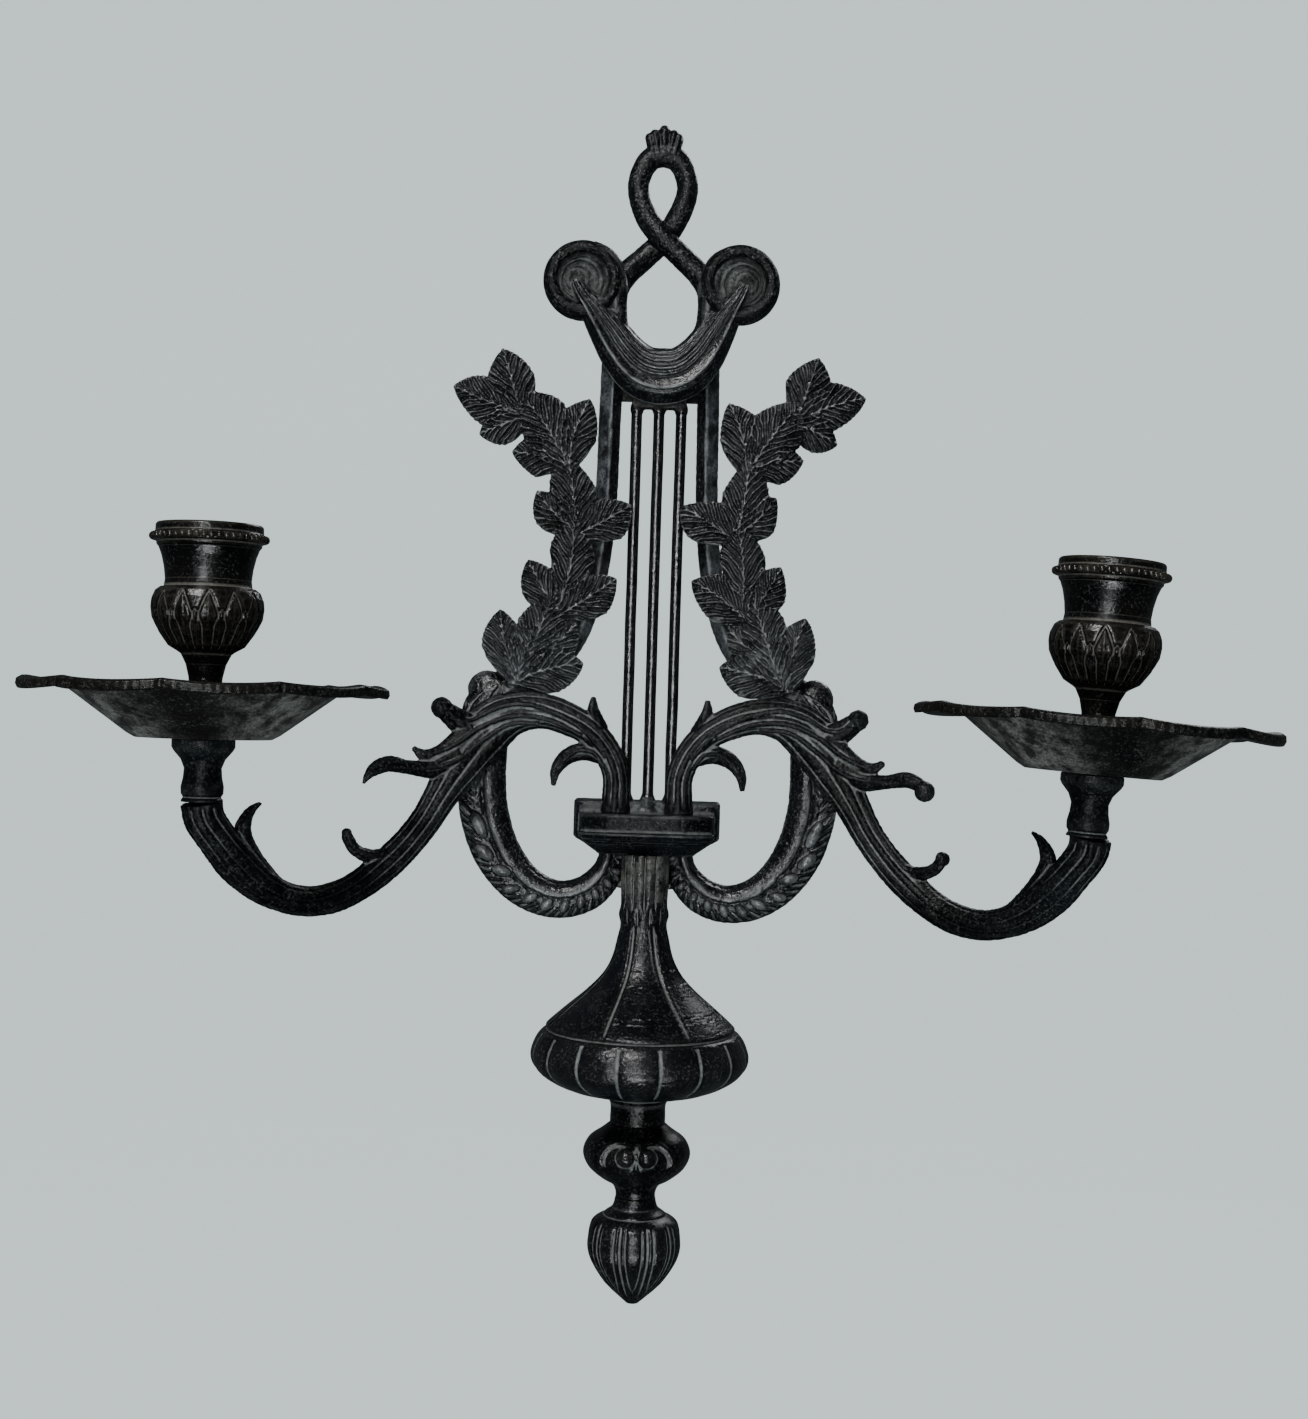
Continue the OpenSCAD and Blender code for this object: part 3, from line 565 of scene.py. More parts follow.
def upper_bar(side):
    rows = smooth(bar_rows(side), 0.9)
    loop = np.clip((rows[:, 2] - 12) / 14, 0, 1)

    def roof(s, q, front):
        share = 1 - loop[:, None]
        ridge = np.abs(q * side + 0.12)
        return share * front**0.6 * (1.5 - 4.2 * ridge**0.9 * (1 - 0.62 * ridge))

    return tube(rows, 44, back=0, relief=roof)


def along(rows, share, across):
    """The place at a share of the rows' length, moved by a share of the half width, and the way it runs."""
    p = rows[:, :3]
    length = lengths(p)
    i = min(int(np.searchsorted(length, share * length[-1])), len(p) - 2)
    t = unit(p[i + 1] - p[i])
    side = np.cross(t, [0, 1, 0])
    place = p[i] + side * rows[i, 3] * across
    return place, math.degrees(math.atan2(t[0], t[2]))


# beads of the scroll's outer field, from the shoulder to the stem: share of the length, place across,
# half width, half length, slant in degrees
SCROLL_BEADS = [
    [0.375, 0.12, 1.7, 6.6, 8], [0.47, 0.66, 1.3, 3.6, -34], [0.51, 0.26, 2.0, 5.0, -12],
    [0.575, 0.42, 1.9, 3.7, -26], [0.63, 0.18, 1.8, 3.4, -38], [0.678, 0.42, 1.5, 3.0, -48],
    [0.722, 0.26, 1.45, 2.7, -52], [0.764, 0.3, 1.35, 2.5, -56], [0.804, 0.3, 1.3, 2.3, -60],
    [0.842, 0.28, 1.25, 2.1, -64], [0.88, 0.3, 1.2, 1.9, -70], [0.915, 0.36, 1.1, 1.8, -78],
    [0.948, 0.44, 1.05, 1.7, -84], [0.98, 0.5, 1.0, 1.6, -88],
]


# three beads on the outer edge beside the leaf, in the same columns
EDGE_BEADS = [[0.3, 0.86, 1.1, 3.4, -22], [0.36, 0.9, 1.1, 3.4, -24], [0.42, 0.88, 1.1, 3.2, -26]]


def scroll_rows(side, step):
    return smooth([[side * x, SCROLL_Y, z, a, b] for x, z, a, b in SCROLL_LINE], step)


def scroll(side):
    """The broad scroll: a smooth inner border and a sunk outer field with barbs and a string of beads."""
    rows = scroll_rows(side, 0.45)
    length = lengths(rows[:, :3])
    step = np.linalg.norm(np.diff(rows[:, :3], axis=0), axis=1)
    total = length[-1]
    pitch = np.interp(length, [0, 0.45 * total, 0.72 * total, total], [3.2, 2.8, 2.3, 1.9])
    phase = np.concatenate([[0], np.cumsum(step / pitch[1:])])[:, None]
    width = rows[:, 3:4]
    field_share = np.interp(length, [0.16 * total, 0.26 * total, total], [0, 1, 1])[:, None]
    slant = np.interp(length, [0, 0.5 * total, total], [1.5, 1.0, 0.8])[:, None]

    def ornament(s, q, front):
        q = q * side
        border = np.exp(-(((q + 0.46) / 0.34) ** 2))
        edge_line = np.exp(-(((q + 0.86) / 0.07) ** 2))
        groove = np.exp(-(((q + 0.08) / 0.08) ** 2))
        field = np.clip((q + 0.04) / 0.1, 0, 1)
        wave = np.abs(np.sin(np.pi * (phase + slant * q * width / 3.0)))
        barbs = (wave**0.7 - 0.7) * np.clip((q - 0.3) / 0.25, 0, 1) * np.clip((1.02 - q) / 0.1, 0, 1)
        sunk = field_share * field * (1.8 * barbs - 1.3)
        return front**0.5 * (0.7 * border - 0.35 * edge_line - field_share * 1.1 * groove + sunk)

    parts = [tube(rows, 112, back=0, relief=ornament)]
    for share, across, a, b, turn in SCROLL_BEADS:
        place, way = along(rows, share, across * side)
        front = SCROLL_Y - 4.6 * math.sqrt(max(0.05, 1 - across**2)) + 0.3
        parts.append(blob(place[0], front, place[2], a, 2.3, b, way - side * turn))
    parts.append(blob(side * 54.4, -4.4, -105.2, 6.7, 4.4, 6.6))
    # the leaf with a midrib that lies along the upper stretch
    for offset, w in ((0.0, 1.7), (0.42, 0.9), (-0.36, 0.9)):
        pts = []
        for share in np.linspace(0.17, 0.42, 9):
            place, _ = along(rows, share, side * (0.34 + offset * math.sin(math.pi * (share - 0.17) / 0.25)))
            swell = math.sin(math.pi * min(1.0, (share - 0.15) / 0.28)) ** 0.7
            pts.append([place[0], -7.6, place[2], max(0.25, w * swell), 1.5])
        parts.append(tube(smooth(pts, 0.5), 20))
    for share, across, a, b, turn in EDGE_BEADS:
        place, way = along(rows, share, across * side)
        parts.append(blob(place[0], -5.6, place[2], a, 1.5, b, way - side * turn))
    return joined(parts)


# lobes of the crown: foot x, tip x, height of the tip's middle, radius
CROWN_LOBES = [(0, 0, 83.3, 1.8), (1.7, 3.2, 81.9, 1.7), (3.4, 5.0, 80.8, 1.5)]
CROWN_FOOT = 74


def palmette():
    """The crown over the loop: five rounded lobes that fan out from its top."""
    parts = [blob(LOOP_SHIFT, -3.9, CROWN_FOOT + 1.4, 7.4, 3.6, 3.2)]
    for foot, tip, height, radius in CROWN_LOBES:
        for side in (LEFT, RIGHT):
            x0, x1 = LOOP_SHIFT + side * foot, LOOP_SHIFT + side * tip
            rows = [[x0, -4.2, CROWN_FOOT, radius * 0.95, 3.8],
                    [(x0 + x1) / 2, -4.2, (CROWN_FOOT + height) / 2, radius, 3.4],
                    [x1, -3.9, height, radius, 3.0]]
            parts.append(tube(smooth(rows, 0.6), 28, back=0))
            parts.append(blob(x1, -3.4, height, radius, 3.3, radius))
    return joined(parts)


def strap():
    """The plain strap behind the stem that joins the scrolls, with soft corners."""
    rows = [[x, -2, -166, 4.2 - 0.8 * abs(x / 11) ** 6, 1.95] for x in np.linspace(-11, 11, 23)]
    return tube(rows, 40, back=0, power=5)


def across_line(rows, pts):
    """How far points lie across the line of rows, in half widths, seen from the front."""
    line, flat = rows[:, [0, 2]], pts[:, [0, 2]]
    way = unit(np.gradient(line, axis=0))
    near = [np.argmin(((p[:, None] - line) ** 2).sum(-1), 1) for p in np.array_split(flat, 60)]
    near = np.concatenate(near)
    gap = flat - line[near]
    return (gap[:, 1] * way[near, 0] - gap[:, 0] * way[near, 1]) / rows[near, 3]


def bar_painted_side_sheen(pts, normals):
    """Painted blue-grey sheen, standing for light from the sides, on the outer facets of the long bars and on
    their whole front low down.
    """
    out = normals[:, 0] * np.sign(pts[:, 0])
    out = np.maximum(step_up(out, 0.1, 0.4), step_up(-pts[:, 2], 58, 66))
    return 0.95 * out * step_up(-normals[:, 1], 0.1, 0.4) * step_up(-pts[:, 2], -16, -4)


def bar_keep(pts):
    """The loop and the crossing get only a little of the worn lightening, painted glints and dust; the long bars
    below the drape get them in full.
    """
    return 1 - 0.75 * step_up(pts[:, 2], 2, 12)


def lyre_frame():
    bars = joined([upper_bar(LEFT), upper_bar(RIGHT), palmette()])
    finish_piece("lyre_bars", bars, "lyre_frame", bar_skin, fused=0.40, ease=1, skin=0.035,
                 bloom_and_sheen=bar_painted_side_sheen, keep=bar_keep)
    for side in (LEFT, RIGHT):
        rows = scroll_rows(side, 0.9)

        def border(pts, normals):
            q = across_line(rows, pts) * side
            return 0.25 * np.exp(-(((q + 0.45) / 0.3) ** 2)) * step_up(-normals[:, 1], 0.2, 0.6)

        finish_piece(SIDE_NAME[side] + "_scroll", scroll(side), "lyre_frame",
                     frame_skin, fused=0.34, ease=0, reach=1.1, depth=0.14, skin=0.045, bloom_and_sheen=border)
    finish_piece("stem_strap", strap(), "lyre_frame", frame_skin)


# ---- drape

ROLL_X = {LEFT: 26.3, RIGHT: 25.4}
ROLL_Z = 30.3
ROLL_SCALE = 0.975
# rows of x, y, z, half width, half depth
DRAPE_LINE = [
    [-28.8, -16.8, 30.1, 2.0, 2.0], [-26.4, -16.4, 25.8, 3.2, 3.2], [-22.4, -15, 20.6, 4.8, 4.5],
    [-17, -13.8, 13.2, 6.6, 5], [-11.9, -13.8, 6.2, 7.8, 5.3], [-6.2, -14, 1.2, 8.8, 5.6],
    [0.4, -14, -0.4, 9.3, 5.7], [7.2, -14, 1.2, 8.8, 5.6], [12.7, -13.8, 6.2, 7.8, 5.3],
    [17.2, -13.8, 13.2, 6.6, 5], [21.6, -15, 20.6, 4.8, 4.5], [24.8, -16.4, 25.8, 3.2, 3.2],
    [26.9, -16.8, 30.1, 2.0, 2.0],
]
# where the folds end across the drape, from its top edge down, and how far each stands out
FOLDS = [0.98, 0.80, 0.60, 0.42, 0.12, -0.08, -0.56]
FOLD_DEPTH = [1.2, 1.3, 2.2, 1.8, 2.6, 3.0]


def swag():
    """Hanging cloth: each fold swells downwards to its crest and drops behind the next."""
    rows = smooth(DRAPE_LINE, 0.5)

    def folds(s, q, front):
        edges = np.array(FOLDS)
        lift = np.zeros_like(q)
        for top, low, deep in zip(edges[:-1], edges[1:], FOLD_DEPTH):
            t = np.clip((top - q) / (top - low), 0, 1)
            inside = (q <= top) & (q > low)
            shape = t**1.4 * np.clip((1 - t) / 0.16, 0, 1) ** 0.8
            lift = np.where(inside, shape * deep, lift)
        hem = 0.55 * np.clip((q + 1) / 0.3, 0, 1) * np.clip((edges[-1] - q) / 0.08, 0, 1)
        lift = np.where(q <= edges[-1], hem, lift)
        return front**0.35 * (lift - 1.1)

    return tube(rows, 190, back=DRAPE_BACK, relief=folds)


def roll(side):
    """A rolled end of the cloth, with the spiral of its edge."""
    profile = rounded([[0.01, 0], [6, 0], [11.6, 0.2], [12.9, 2.4], [13.4, 5], [13.2, 7.8], [12.2, 9.9],
                       [10.9, 10.7], [9.6, 10.2], [8.9, 8.9], [8.5, 7.9], [8.0, 8.1], [7.4, 8.6],
                       [6.8, 8.5], [6.2, 7.6],
                       [5.4, 7.3], [4.6, 7.8], [3.9, 8.4], [3.0, 8.5], [1.6, 8.0], [0.01, 7.9]], 0.3)
    pts, faces = lathe(profile, 144, 0.35)
    r = np.hypot(pts[:, 0], pts[:, 1])
    turn = np.arctan2(pts[:, 0] * side, -pts[:, 1])
    front = pts[:, 2]
    inward = np.clip((9.4 - r) / 5, 0, 1) * (front > 4)
    wind = ((turn + math.radians(130)) / (2 * np.pi)) % 1
    shrink = 1 - 0.2 * wind * np.clip((10.6 - r) / 2.4, 0, 1) * (front > 4)
    x = pts[:, 0] * shrink * ROLL_SCALE + side * 2.0 * inward
    z = -pts[:, 1] * shrink * ROLL_SCALE
    out = np.stack([side * ROLL_X[side] + x, DRAPE_BACK - front, ROLL_Z + z], -1)
    return outward((out, faces))


def mantle(side):
    """The outer band of the roll that runs down the inner side and becomes the swag's upper edge."""
    rows = [[-24.5, -12.8, 41.5, 3.6, 3.8], [-18.6, -13, 37.6, 4.4, 4.3], [-15.9, -13, 30.5, 4.3, 4.2],
            [-15.3, -12.9, 23.5, 3.7, 3.9], [-13.4, -13, 16.9, 2.6, 3.3], [-9.4, -13.4, 11.3, 1.6, 2.7],
            [-4.5, -14, 8.9, 0.9, 2.0]]
    return tube(smooth([[-side * x, y, z - 1, a, b] for x, y, z, a, b in rows], 0.5), 40, back=DRAPE_BACK)


def string_rail():
    rows = [[x, -5.0, -6.9, 3.2, 1.9] for x in np.linspace(-9.1, 9.1, 20)]
    flares = [blob(x, -5, -10.0, 2.3, 1.9, 3.0) for x in (-STRING_STEP, 0, STRING_STEP)]
    return joined([tube(rows, 32, power=4)] + flares)


def roll_distance(side, pts):
    """How far points are from the middle of a roll, seen from the front."""
    return np.hypot(pts[:, 0] - side * ROLL_X[side], pts[:, 2] - ROLL_Z)


def cloth_bloom(pts, normals):
    """Dust on the sunk discs of the rolls and on the bands beside them."""
    out = np.zeros(len(pts))
    for side in (LEFT, RIGHT):
        far = roll_distance(side, pts)
        out = np.maximum(out, step_up(-far, -8.9, -8.1) * step_up(pts[:, 1], -17.6, -17.0))
        band = np.exp(-(((pts[:, 0] * side - 17.4) / 2.4) ** 2))
        band = band * step_up(pts[:, 2], 10, 16) * step_up(-pts[:, 2], -38, -30)
        band = 0.6 * band * step_up(-normals[:, 1], 0.3, 0.7)
        out = np.maximum(out, band * step_up(pts[:, 1], -17.4, -16.6))
    return out


def cloth_keep(pts):
    """The fat rims of the rolls stay dark, without worn lightening or painted glints."""
    out = np.ones(len(pts))
    for side in (LEFT, RIGHT):
        far = roll_distance(side, pts)
        rim = step_up(far, 8.8, 9.6) * step_up(-far, -14.5, -13.5)
        out = np.minimum(out, 1 - 0.85 * rim * step_up(pts[:, 1], -19.4, -18.8))
    return out


def swag_drape():
    finish_piece("swag", joined([swag(), mantle(LEFT), mantle(RIGHT)]), "swag_drape",
                 drape_skin, fused=0.34, ease=0, reach=1.0, depth=0.12, skin=0.02, bloom_and_sheen=cloth_bloom)
    for side in (LEFT, RIGHT):
        finish_piece(SIDE_NAME[side] + "_roll", roll(side), "swag_drape", roll_skin,
                     reach=1.0, depth=0.12, skin=0.04, bloom_and_sheen=cloth_bloom, keep=cloth_keep)
    finish_piece("string_rail", string_rail(), "swag_drape", rail_skin, fused=0.36, ease=5)


# ---- strings and block


def strings():
    """Three rods that are a little uneven and flare where they enter the block."""
    for name, i in (("string_left", -1), ("string_centre", 0), ("string_right", 1)):
        rng = np.random.default_rng(20 + i)
        heights = np.linspace(BLOCK_TOP - 3.8, -8.2, 140)
        sway = np.interp(heights, np.linspace(-150, 0, 12), rng.normal(0, 0.05, 12))
        rows = np.stack([i * STRING_STEP + sway, np.full(140, -STRING_OUT), heights,
                         STRING_R + np.abs(sway) * 0.2, np.full(140, STRING_R)], -1)
        flare = 0.9 * np.exp(-(((heights - BLOCK_TOP) / 1.3) ** 2))
        rows[:, 3] += flare
        rows[:, 4] += flare
        finish_piece(name + "_rod", tube(rows, 32), name, string_skin)


def box_rings(sections):
    """A stack of rounded rectangles, each (half x, y front, y back, z), as a closed solid."""
    around = 96
    u, v = oval(2 * np.pi * (np.arange(around) + 0.5) / around, 12)
    pts = []
    for half, front, back, z in sections:
        mid, deep = (front + back) / 2, (back - front) / 2
        pts.append(np.stack([half * u, mid + deep * v, np.full(around, z)], -1))
    n = len(sections)
    pts = np.vstack(pts + [[[0, -STEM_OUT, sections[k][3]]] for k in (0, -1)])
    return outward((pts, [grid_faces(n, around), ring_ends(n, around, n * around, n * around + 1)]))


def stacked(sections):
    """A solid through rounded rectangles (half x, y front, y back, z), a ring each half millimetre."""
    dense = []
    for a, b in zip(sections[:-1], sections[1:]):
        n = max(1, int(max(np.hypot(b[0] - a[0], b[3] - a[3]), abs(b[1] - a[1])) / 0.5))
        dense += [[p + (q - p) * k / n for p, q in zip(a, b)] for k in range(n)]
    return box_rings(dense + [sections[-1]])


LEDGE_Z = -144.3
PANEL_BOW = 4.2


def block_dust_and_painted_reflection(pts, normals):
    """A painted reflection patch in the middle of the panel and dust round the feet on its upper edge."""
    x, y, z = pts.T
    lean = 0.5 * (z + 147.4)
    # painted reflection: a lighter patch on the panel's middle, its edge slanting with height
    panel = step_up(x, -4.6 + lean, -2.2 + lean) * step_up(-x, -6.0, -4.6)
    panel = panel * step_up(-z, 144.6, 145.4) * step_up(z, -150.6, -150.0)
    feet = np.exp(-(((np.abs(x) - 10.4) / 4.2) ** 2)) * step_up(z, -145.4, -144.4)
    sill = step_up(-np.abs(x), -5.6, -4.2) * step_up(z, -144.6, -144.0)
    return np.maximum(0.3 * panel * (y < -24), 0.8 * np.maximum(0.6 * feet, sill) * (normals[:, 1] < 0.5))


def base_block():
    """A plain slab behind, a glossy panel in front of it with a thin ledge, and a stepped slope below."""
    slab = stacked([
        [6, -9, 0, BLOCK_TOP], [23.6, -15.0, 0, BLOCK_TOP], [24.1, -15.5, 0, -140.8],
        [24.1, -15.5, 0, -152.0], [23.5, -15.2, 0, -152.8], [20.6, -15, 0, -154.4],
        [18.4, -14.6, 0, -156.0], [15.8, -14, 0, BLOCK_LOW], [6, -9, 0, BLOCK_LOW],
    ])
    panel = stacked([
        [6, -14, -8, LEDGE_Z], [21.7, -25.0, -8, LEDGE_Z], [22.0, -25.5, -8, -144.7],
        [22.0, -24.8, -8, -150.3], [22.5, -25.8, -8, -150.6], [22.5, -25.8, -8, -151.2],
        [22.0, -25.2, -8, -151.5], [21.7, -24.7, -8, -152.7], [20.4, -23.4, -8, -153.4],
        [20.1, -22.9, -8, -154.3], [18.2, -20.6, -8, -155.5], [16.7, -18.8, -8, -156.7],
        [15.8, -17.4, -8, BLOCK_LOW], [6, -14, -8, BLOCK_LOW],
    ])
    bowed = panel[0].copy()
    bowed[:, 1] += PANEL_BOW * (bowed[:, 0] / 22) ** 2 * step_up(-bowed[:, 1], 8, 24)
    panel = (bowed, panel[1])
    foot = lathe([[0.01, -138.8], [1.9, -138.8], [2.0, -140.4], [2.6, -142], [3.9, -143.4], [5.8, LEDGE_Z],
                  [5.8, -145], [0.01, -145]], 48, 0.4)
    foot = (foot[0] * [1, 0.4, 1] + [0, -15.3, 0], foot[1])
    finish_piece("base_block_casting", joined([slab, panel, foot]), "base_block", block_skin,
                 fused=0.4, ease=1, reach=1.2, depth=0.12, skin=0.02, bloom_and_sheen=block_dust_and_painted_reflection)


# ---- turned drop

VASE_EDGE = [
    [0.01, -157.9], [7.9, -157.9], [7.9, -162], [7.9, -167], [7.6, -175], [7.5, -181], [8.4, -186],
    [10, -192], [13.1, -197.5], [18.3, -203], [25.3, -209], [31.1, -214.3], [31.0, -215.6], [32.5, -216.3],
    [34.6, -219.2], [36, -224], [34.7, -228], [30.6, -231.5], [23.6, -234.7], [11.6, -237.3], [10, -238.4],
    [9.1, -240.4], [9.1, -244.2],
    [9.1, -246.1], [0.01, -246.1]]
KNOP_EDGE = [
    [0.01, -246.3], [9.2, -246.3], [12.1, -248.6], [15.9, -251.5], [17.4, -256], [15.8, -260.5], [11.8, -264],
    [8, -266.2], [6.7, -268.4], [6.5, -270.5], [0.01, -270.5]]
BUD_EDGE = [
    [0.01, -270.7], [6.6, -270.7], [7.6, -274], [10.7, -276.3], [14, -279], [15.3, -284.3], [14.9, -288.7],
    [12.9, -293.2], [9, -298.8], [4.2, -303.6], [2, -305.6], [0.01, -306.2]]


def on_stem(part):
    """Moves a turned part to the stem's axis and flattens its back on the wall plane."""
    pts, faces = part
    pts = pts + [0, -STEM_OUT, 0]
    pts[:, 1] = np.minimum(pts[:, 1], 0)
    return pts, faces


def corner_smooth(edge, step=0.4):
    """A profile whose first and last stretches stay straight."""
    mid = rounded(edge[1:-1], step)
    return np.vstack([edge[0], mid, edge[-1]])


def line_mark(distance, width):
    return np.exp(-((distance / width) ** 2))


# degrees about the stem at the top and at the foot of each line on the bell
BELL_LINES = [(-25, -22), (26, 30.5), (-78, -74), (78, 82)]


def vase():
    """The reeded neck, the bell with its long lines, and the gadroons below its ring."""

    def relief(h, turn, r):
        turn_deg = (np.degrees(turn) + 180) % 360 - 180
        lift = np.zeros_like(h)
        # gadroons under the ring
        ribs = 16
        lobe = np.abs(np.sin(ribs / 2 * (turn - np.pi / ribs)))
        below = np.clip((-216.2 - h) / 0.9, 0, 1) * np.clip((h + 236.5) / 3.5, 0, 1)
        lift += below * (0.75 * lobe**0.55 - 0.75)
        # the ring's groove
        lift -= 0.55 * line_mark(h + 215.4, 0.55)
        # long lines that fan out over the bell
        t = np.clip((-181 - h) / 34, 0, 1)
        on_bell = np.clip((-180 - h) / 4, 0, 1) * np.clip((h + 214.6) / 1.2, 0, 1)
        for top, low in BELL_LINES:
            at = top + (low - top) * t**0.6
            away = ((turn_deg - at + 180) % 360 - 180) * np.pi / 180 * r
            lift -= on_bell * (0.5 * line_mark(away, 0.5) - 0.25 * line_mark(np.abs(away) - 1.3, 0.5))
        # reeds on the neck
        ridges = 12
        neck = np.clip((h + 178) / 5, 0, 1)
        lift += neck * (1.0 * np.abs(np.sin(ridges / 2 * turn)) ** 0.6 - 0.85)
        lift += 0.8 * np.abs(np.sin(ridges / 2 * turn + 1.57)) ** 0.6 * line_mark(h + 177.5, 2.4)
        return lift

    return on_stem(lathe(corner_smooth(VASE_EDGE), 420, 0.42, relief))


def knop():
    """A round knop with an arch over each of its two bosses."""
    centre_x, centre_z, arch_r, belly_r = 6.0, -256.4, 6.6, 17

    def relief(h, turn, r):
        across = ((turn + np.pi) % (2 * np.pi) - np.pi) * belly_r
        lift = np.zeros_like(h)
        for side in (LEFT, RIGHT):
            far = np.hypot(across - side * centre_x, h - centre_z)
            upper = np.clip((h - centre_z + 3) / 3, 0, 1)
            lift += 0.7 * upper * line_mark(far - arch_r, 0.7)
            lift -= 0.8 * upper * line_mark(far - arch_r + 1.5, 0.7)
        beyond = np.clip((np.abs(across) - 13) / 2, 0, 1)
        lift += 0.3 * beyond * np.abs(np.sin(5 * turn)) * line_mark(h + 256, 5)
        return lift

    body = on_stem(lathe(corner_smooth(KNOP_EDGE), 240, 0.4, relief))
    bosses = []
    for side in (LEFT, RIGHT):
        edge = [[0.01, -3.1], [1.6, -2.7], [2.8, -1.5], [3.2, 0], [2.8, 1.5], [1.6, 2.7], [0.01, 3.1]]
        ball = lathe(rounded(edge, 0.25), 40, 0.3)
        bosses.append((ball[0] + [side * 3.3, -STEM_OUT - 16.2, -254.4], ball[1]))
    return joined([body] + bosses)


def bud():
    """A closed bud of ten petals, each with an inner outline."""
    petals = 10

    def relief(h, turn, r):
        t = np.clip((-277.5 - h) / 27, 0, 1)
        across = (turn / (2 * np.pi) * petals + 0.5) % 1 * 2 - 1
        open_top = np.clip((-277 - h) / 2.5, 0, 1) * np.clip((h + 304.5) / 6, 0, 1)
        outer = np.sqrt(np.clip(1 - t**3, 0, 1))
        inner = 0.58 * np.sqrt(np.clip(1 - (t / 0.82) ** 4, 0, 1))
        lift = -0.75 * line_mark(1 - np.abs(across), 0.17) * outer
        lift -= 0.5 * line_mark(np.abs(across) - inner, 0.12) * (t < 0.86)
        lift += 0.35 * np.cos(np.pi * across / 2)
        ring = -0.5 * line_mark(h + 276.4, 0.5)
        return open_top * lift + ring

    return on_stem(lathe(corner_smooth(BUD_EDGE), 300, 0.36, relief))


def stem_bloom(pts, normals):
    """Old polish that has dried on the reeds of the neck."""
    r = np.hypot(pts[:, 0], pts[:, 1] + STEM_OUT)
    return 0.75 * step_up(pts[:, 2], -176, -170) * step_up(r, 7.3, 7.8)


def turned_drop():
    finish_piece("bell_vase", vase(), "vase_body", turned_skin, reach=0.9, depth=0.1,
                 skin=0.012, bloom_and_sheen=stem_bloom)
    finish_piece("knop", knop(), "lower_knop", turned_skin, fused=0.4, ease=1,
                 reach=1.0, depth=0.09)
    finish_piece("bud", bud(), "bud_finial", turned_skin, reach=0.9, depth=0.1)


# ---- arms


def arm_y(x):
    """How far the arm's middle stands out at a distance from the stem: flat on the frame, then forward."""
    share = max(0.0, (x - ARM_BEND_X) / (SEAT_X - ARM_BEND_X))
    return ARM_ROOT_Y - (SEAT_OUT + ARM_ROOT_Y) * share**1.5


def sag(x, side):
    """How far the arm hangs down beyond the shoulder; only the right one does."""
    if side == LEFT or x < SHOULDER_X:
        return 0.0
    return RIGHT_SAG * ((x - SHOULDER_X) / (SEAT_X - SHOULDER_X)) ** 2


def arm_rows(rows, side, step):
    placed = [[side * x, arm_y(x) + y, z - sag(x, side), a, b] for x, y, z, a, b in rows]
    return smooth(placed, step)


# rows of x, y from the arm's middle, z, half width, half depth
ARM_STEM = [
    [10.3, 0, -144.2, 5.3, 4.6], [10.3, 0, -139.5, 4.6, 4.2], [10.5, 0, -132, 4.4, 4.2],
    [13.5, 0, -124.5, 4.5, 4.3], [19, 0, -118.2, 4.8, 4.3], [26.5, 0, -114, 5.4, 4.3],
    [34.5, 0, -111.6, 5.8, 4.3], [42.5, 0, -112, 6.8, 4.3], [49.5, 0, -115, 8.2, 4.4],
    [56, 0, -121.5, 8.7, 4.5], [62, 0, -130.5, 7.5, 4.6], [67, 0, -139.5, 5.6, 4.7],
    [71.8, 0, -148.3, 5, 4.7], [77.6, 0, -156.3, 5, 4.7], [84, 0, -163, 5.2, 4.7],
    [91, 0, -168.8, 4.9, 4.7], [98, 0, -172.2, 4.9, 4.7], [105, 0, -172.9, 4.7, 4.7],
    [111.6, 0, -170.9, 4.8, 4.7], [117.8, 0, -166.4, 5.6, 4.8], [123.3, 0, -160, 6.2, 5.2],
    [128, 0, -152.6, 5.8, 5.4], [131.2, 0, -146.5, 5.9, 5.8], [132, 0, -141.7, 6, 6],
]
CURL_IN_ARCH = [[16, 0, -125, 3.4, 3.4], [21.5, 0, -124.4, 3.1, 3.2], [26.6, 0, -126.2, 2.8, 2.8],
                [30.3, 0, -130.6, 2, 2.2], [31.1, 0, -136.0, 0.8, 0.9]]
ROOT_THORN = [[16.5, 0, -117.5, 3.2, 3], [18.6, 0, -111.6, 2.2, 2.4], [18.8, 0, -106.5, 0.7, 0.8]]
KNOB_LEAF = [[50, -0.3, -120, 5.6, 4.2], [55.5, 0, -119, 5.4, 4], [60, 0.4, -117.4, 4.6, 3.8],
             [63.6, 0.7, -115, 3.8, 3.5], [66.4, 0.8, -112.8, 3.2, 3.1], [68, 0.9, -111.5, 2.6, 2.6]]
SHORT_LEAF = [[58, -0.3, -118.5, 5, 4], [63, 0, -123.2, 4, 3.4], [68, 0, -126.4, 3.0, 2.6],
              [72.2, 0, -127.2, 2.2, 2.0], [74.6, 0, -126, 1.4, 1.4], [75.6, 0, -124.9, 0.7, 0.8]]
LONG_LEAF = [[62, -0.3, -127, 5, 4], [70, 0, -131.2, 3.4, 3.1], [77, 0, -131.0, 2.4, 2.4],
             [83, 0, -129.9, 2.7, 2.5], [87.2, 0, -131.6, 2.3, 2.2]]
LONG_TIP = {LEFT: [[89.4, 0, -134.2, 1.2, 1.4], [90.3, 0, -136.4, 0.5, 0.6]],
            RIGHT: [[88.4, 0, -133.0, 2.4, 2.3]]}
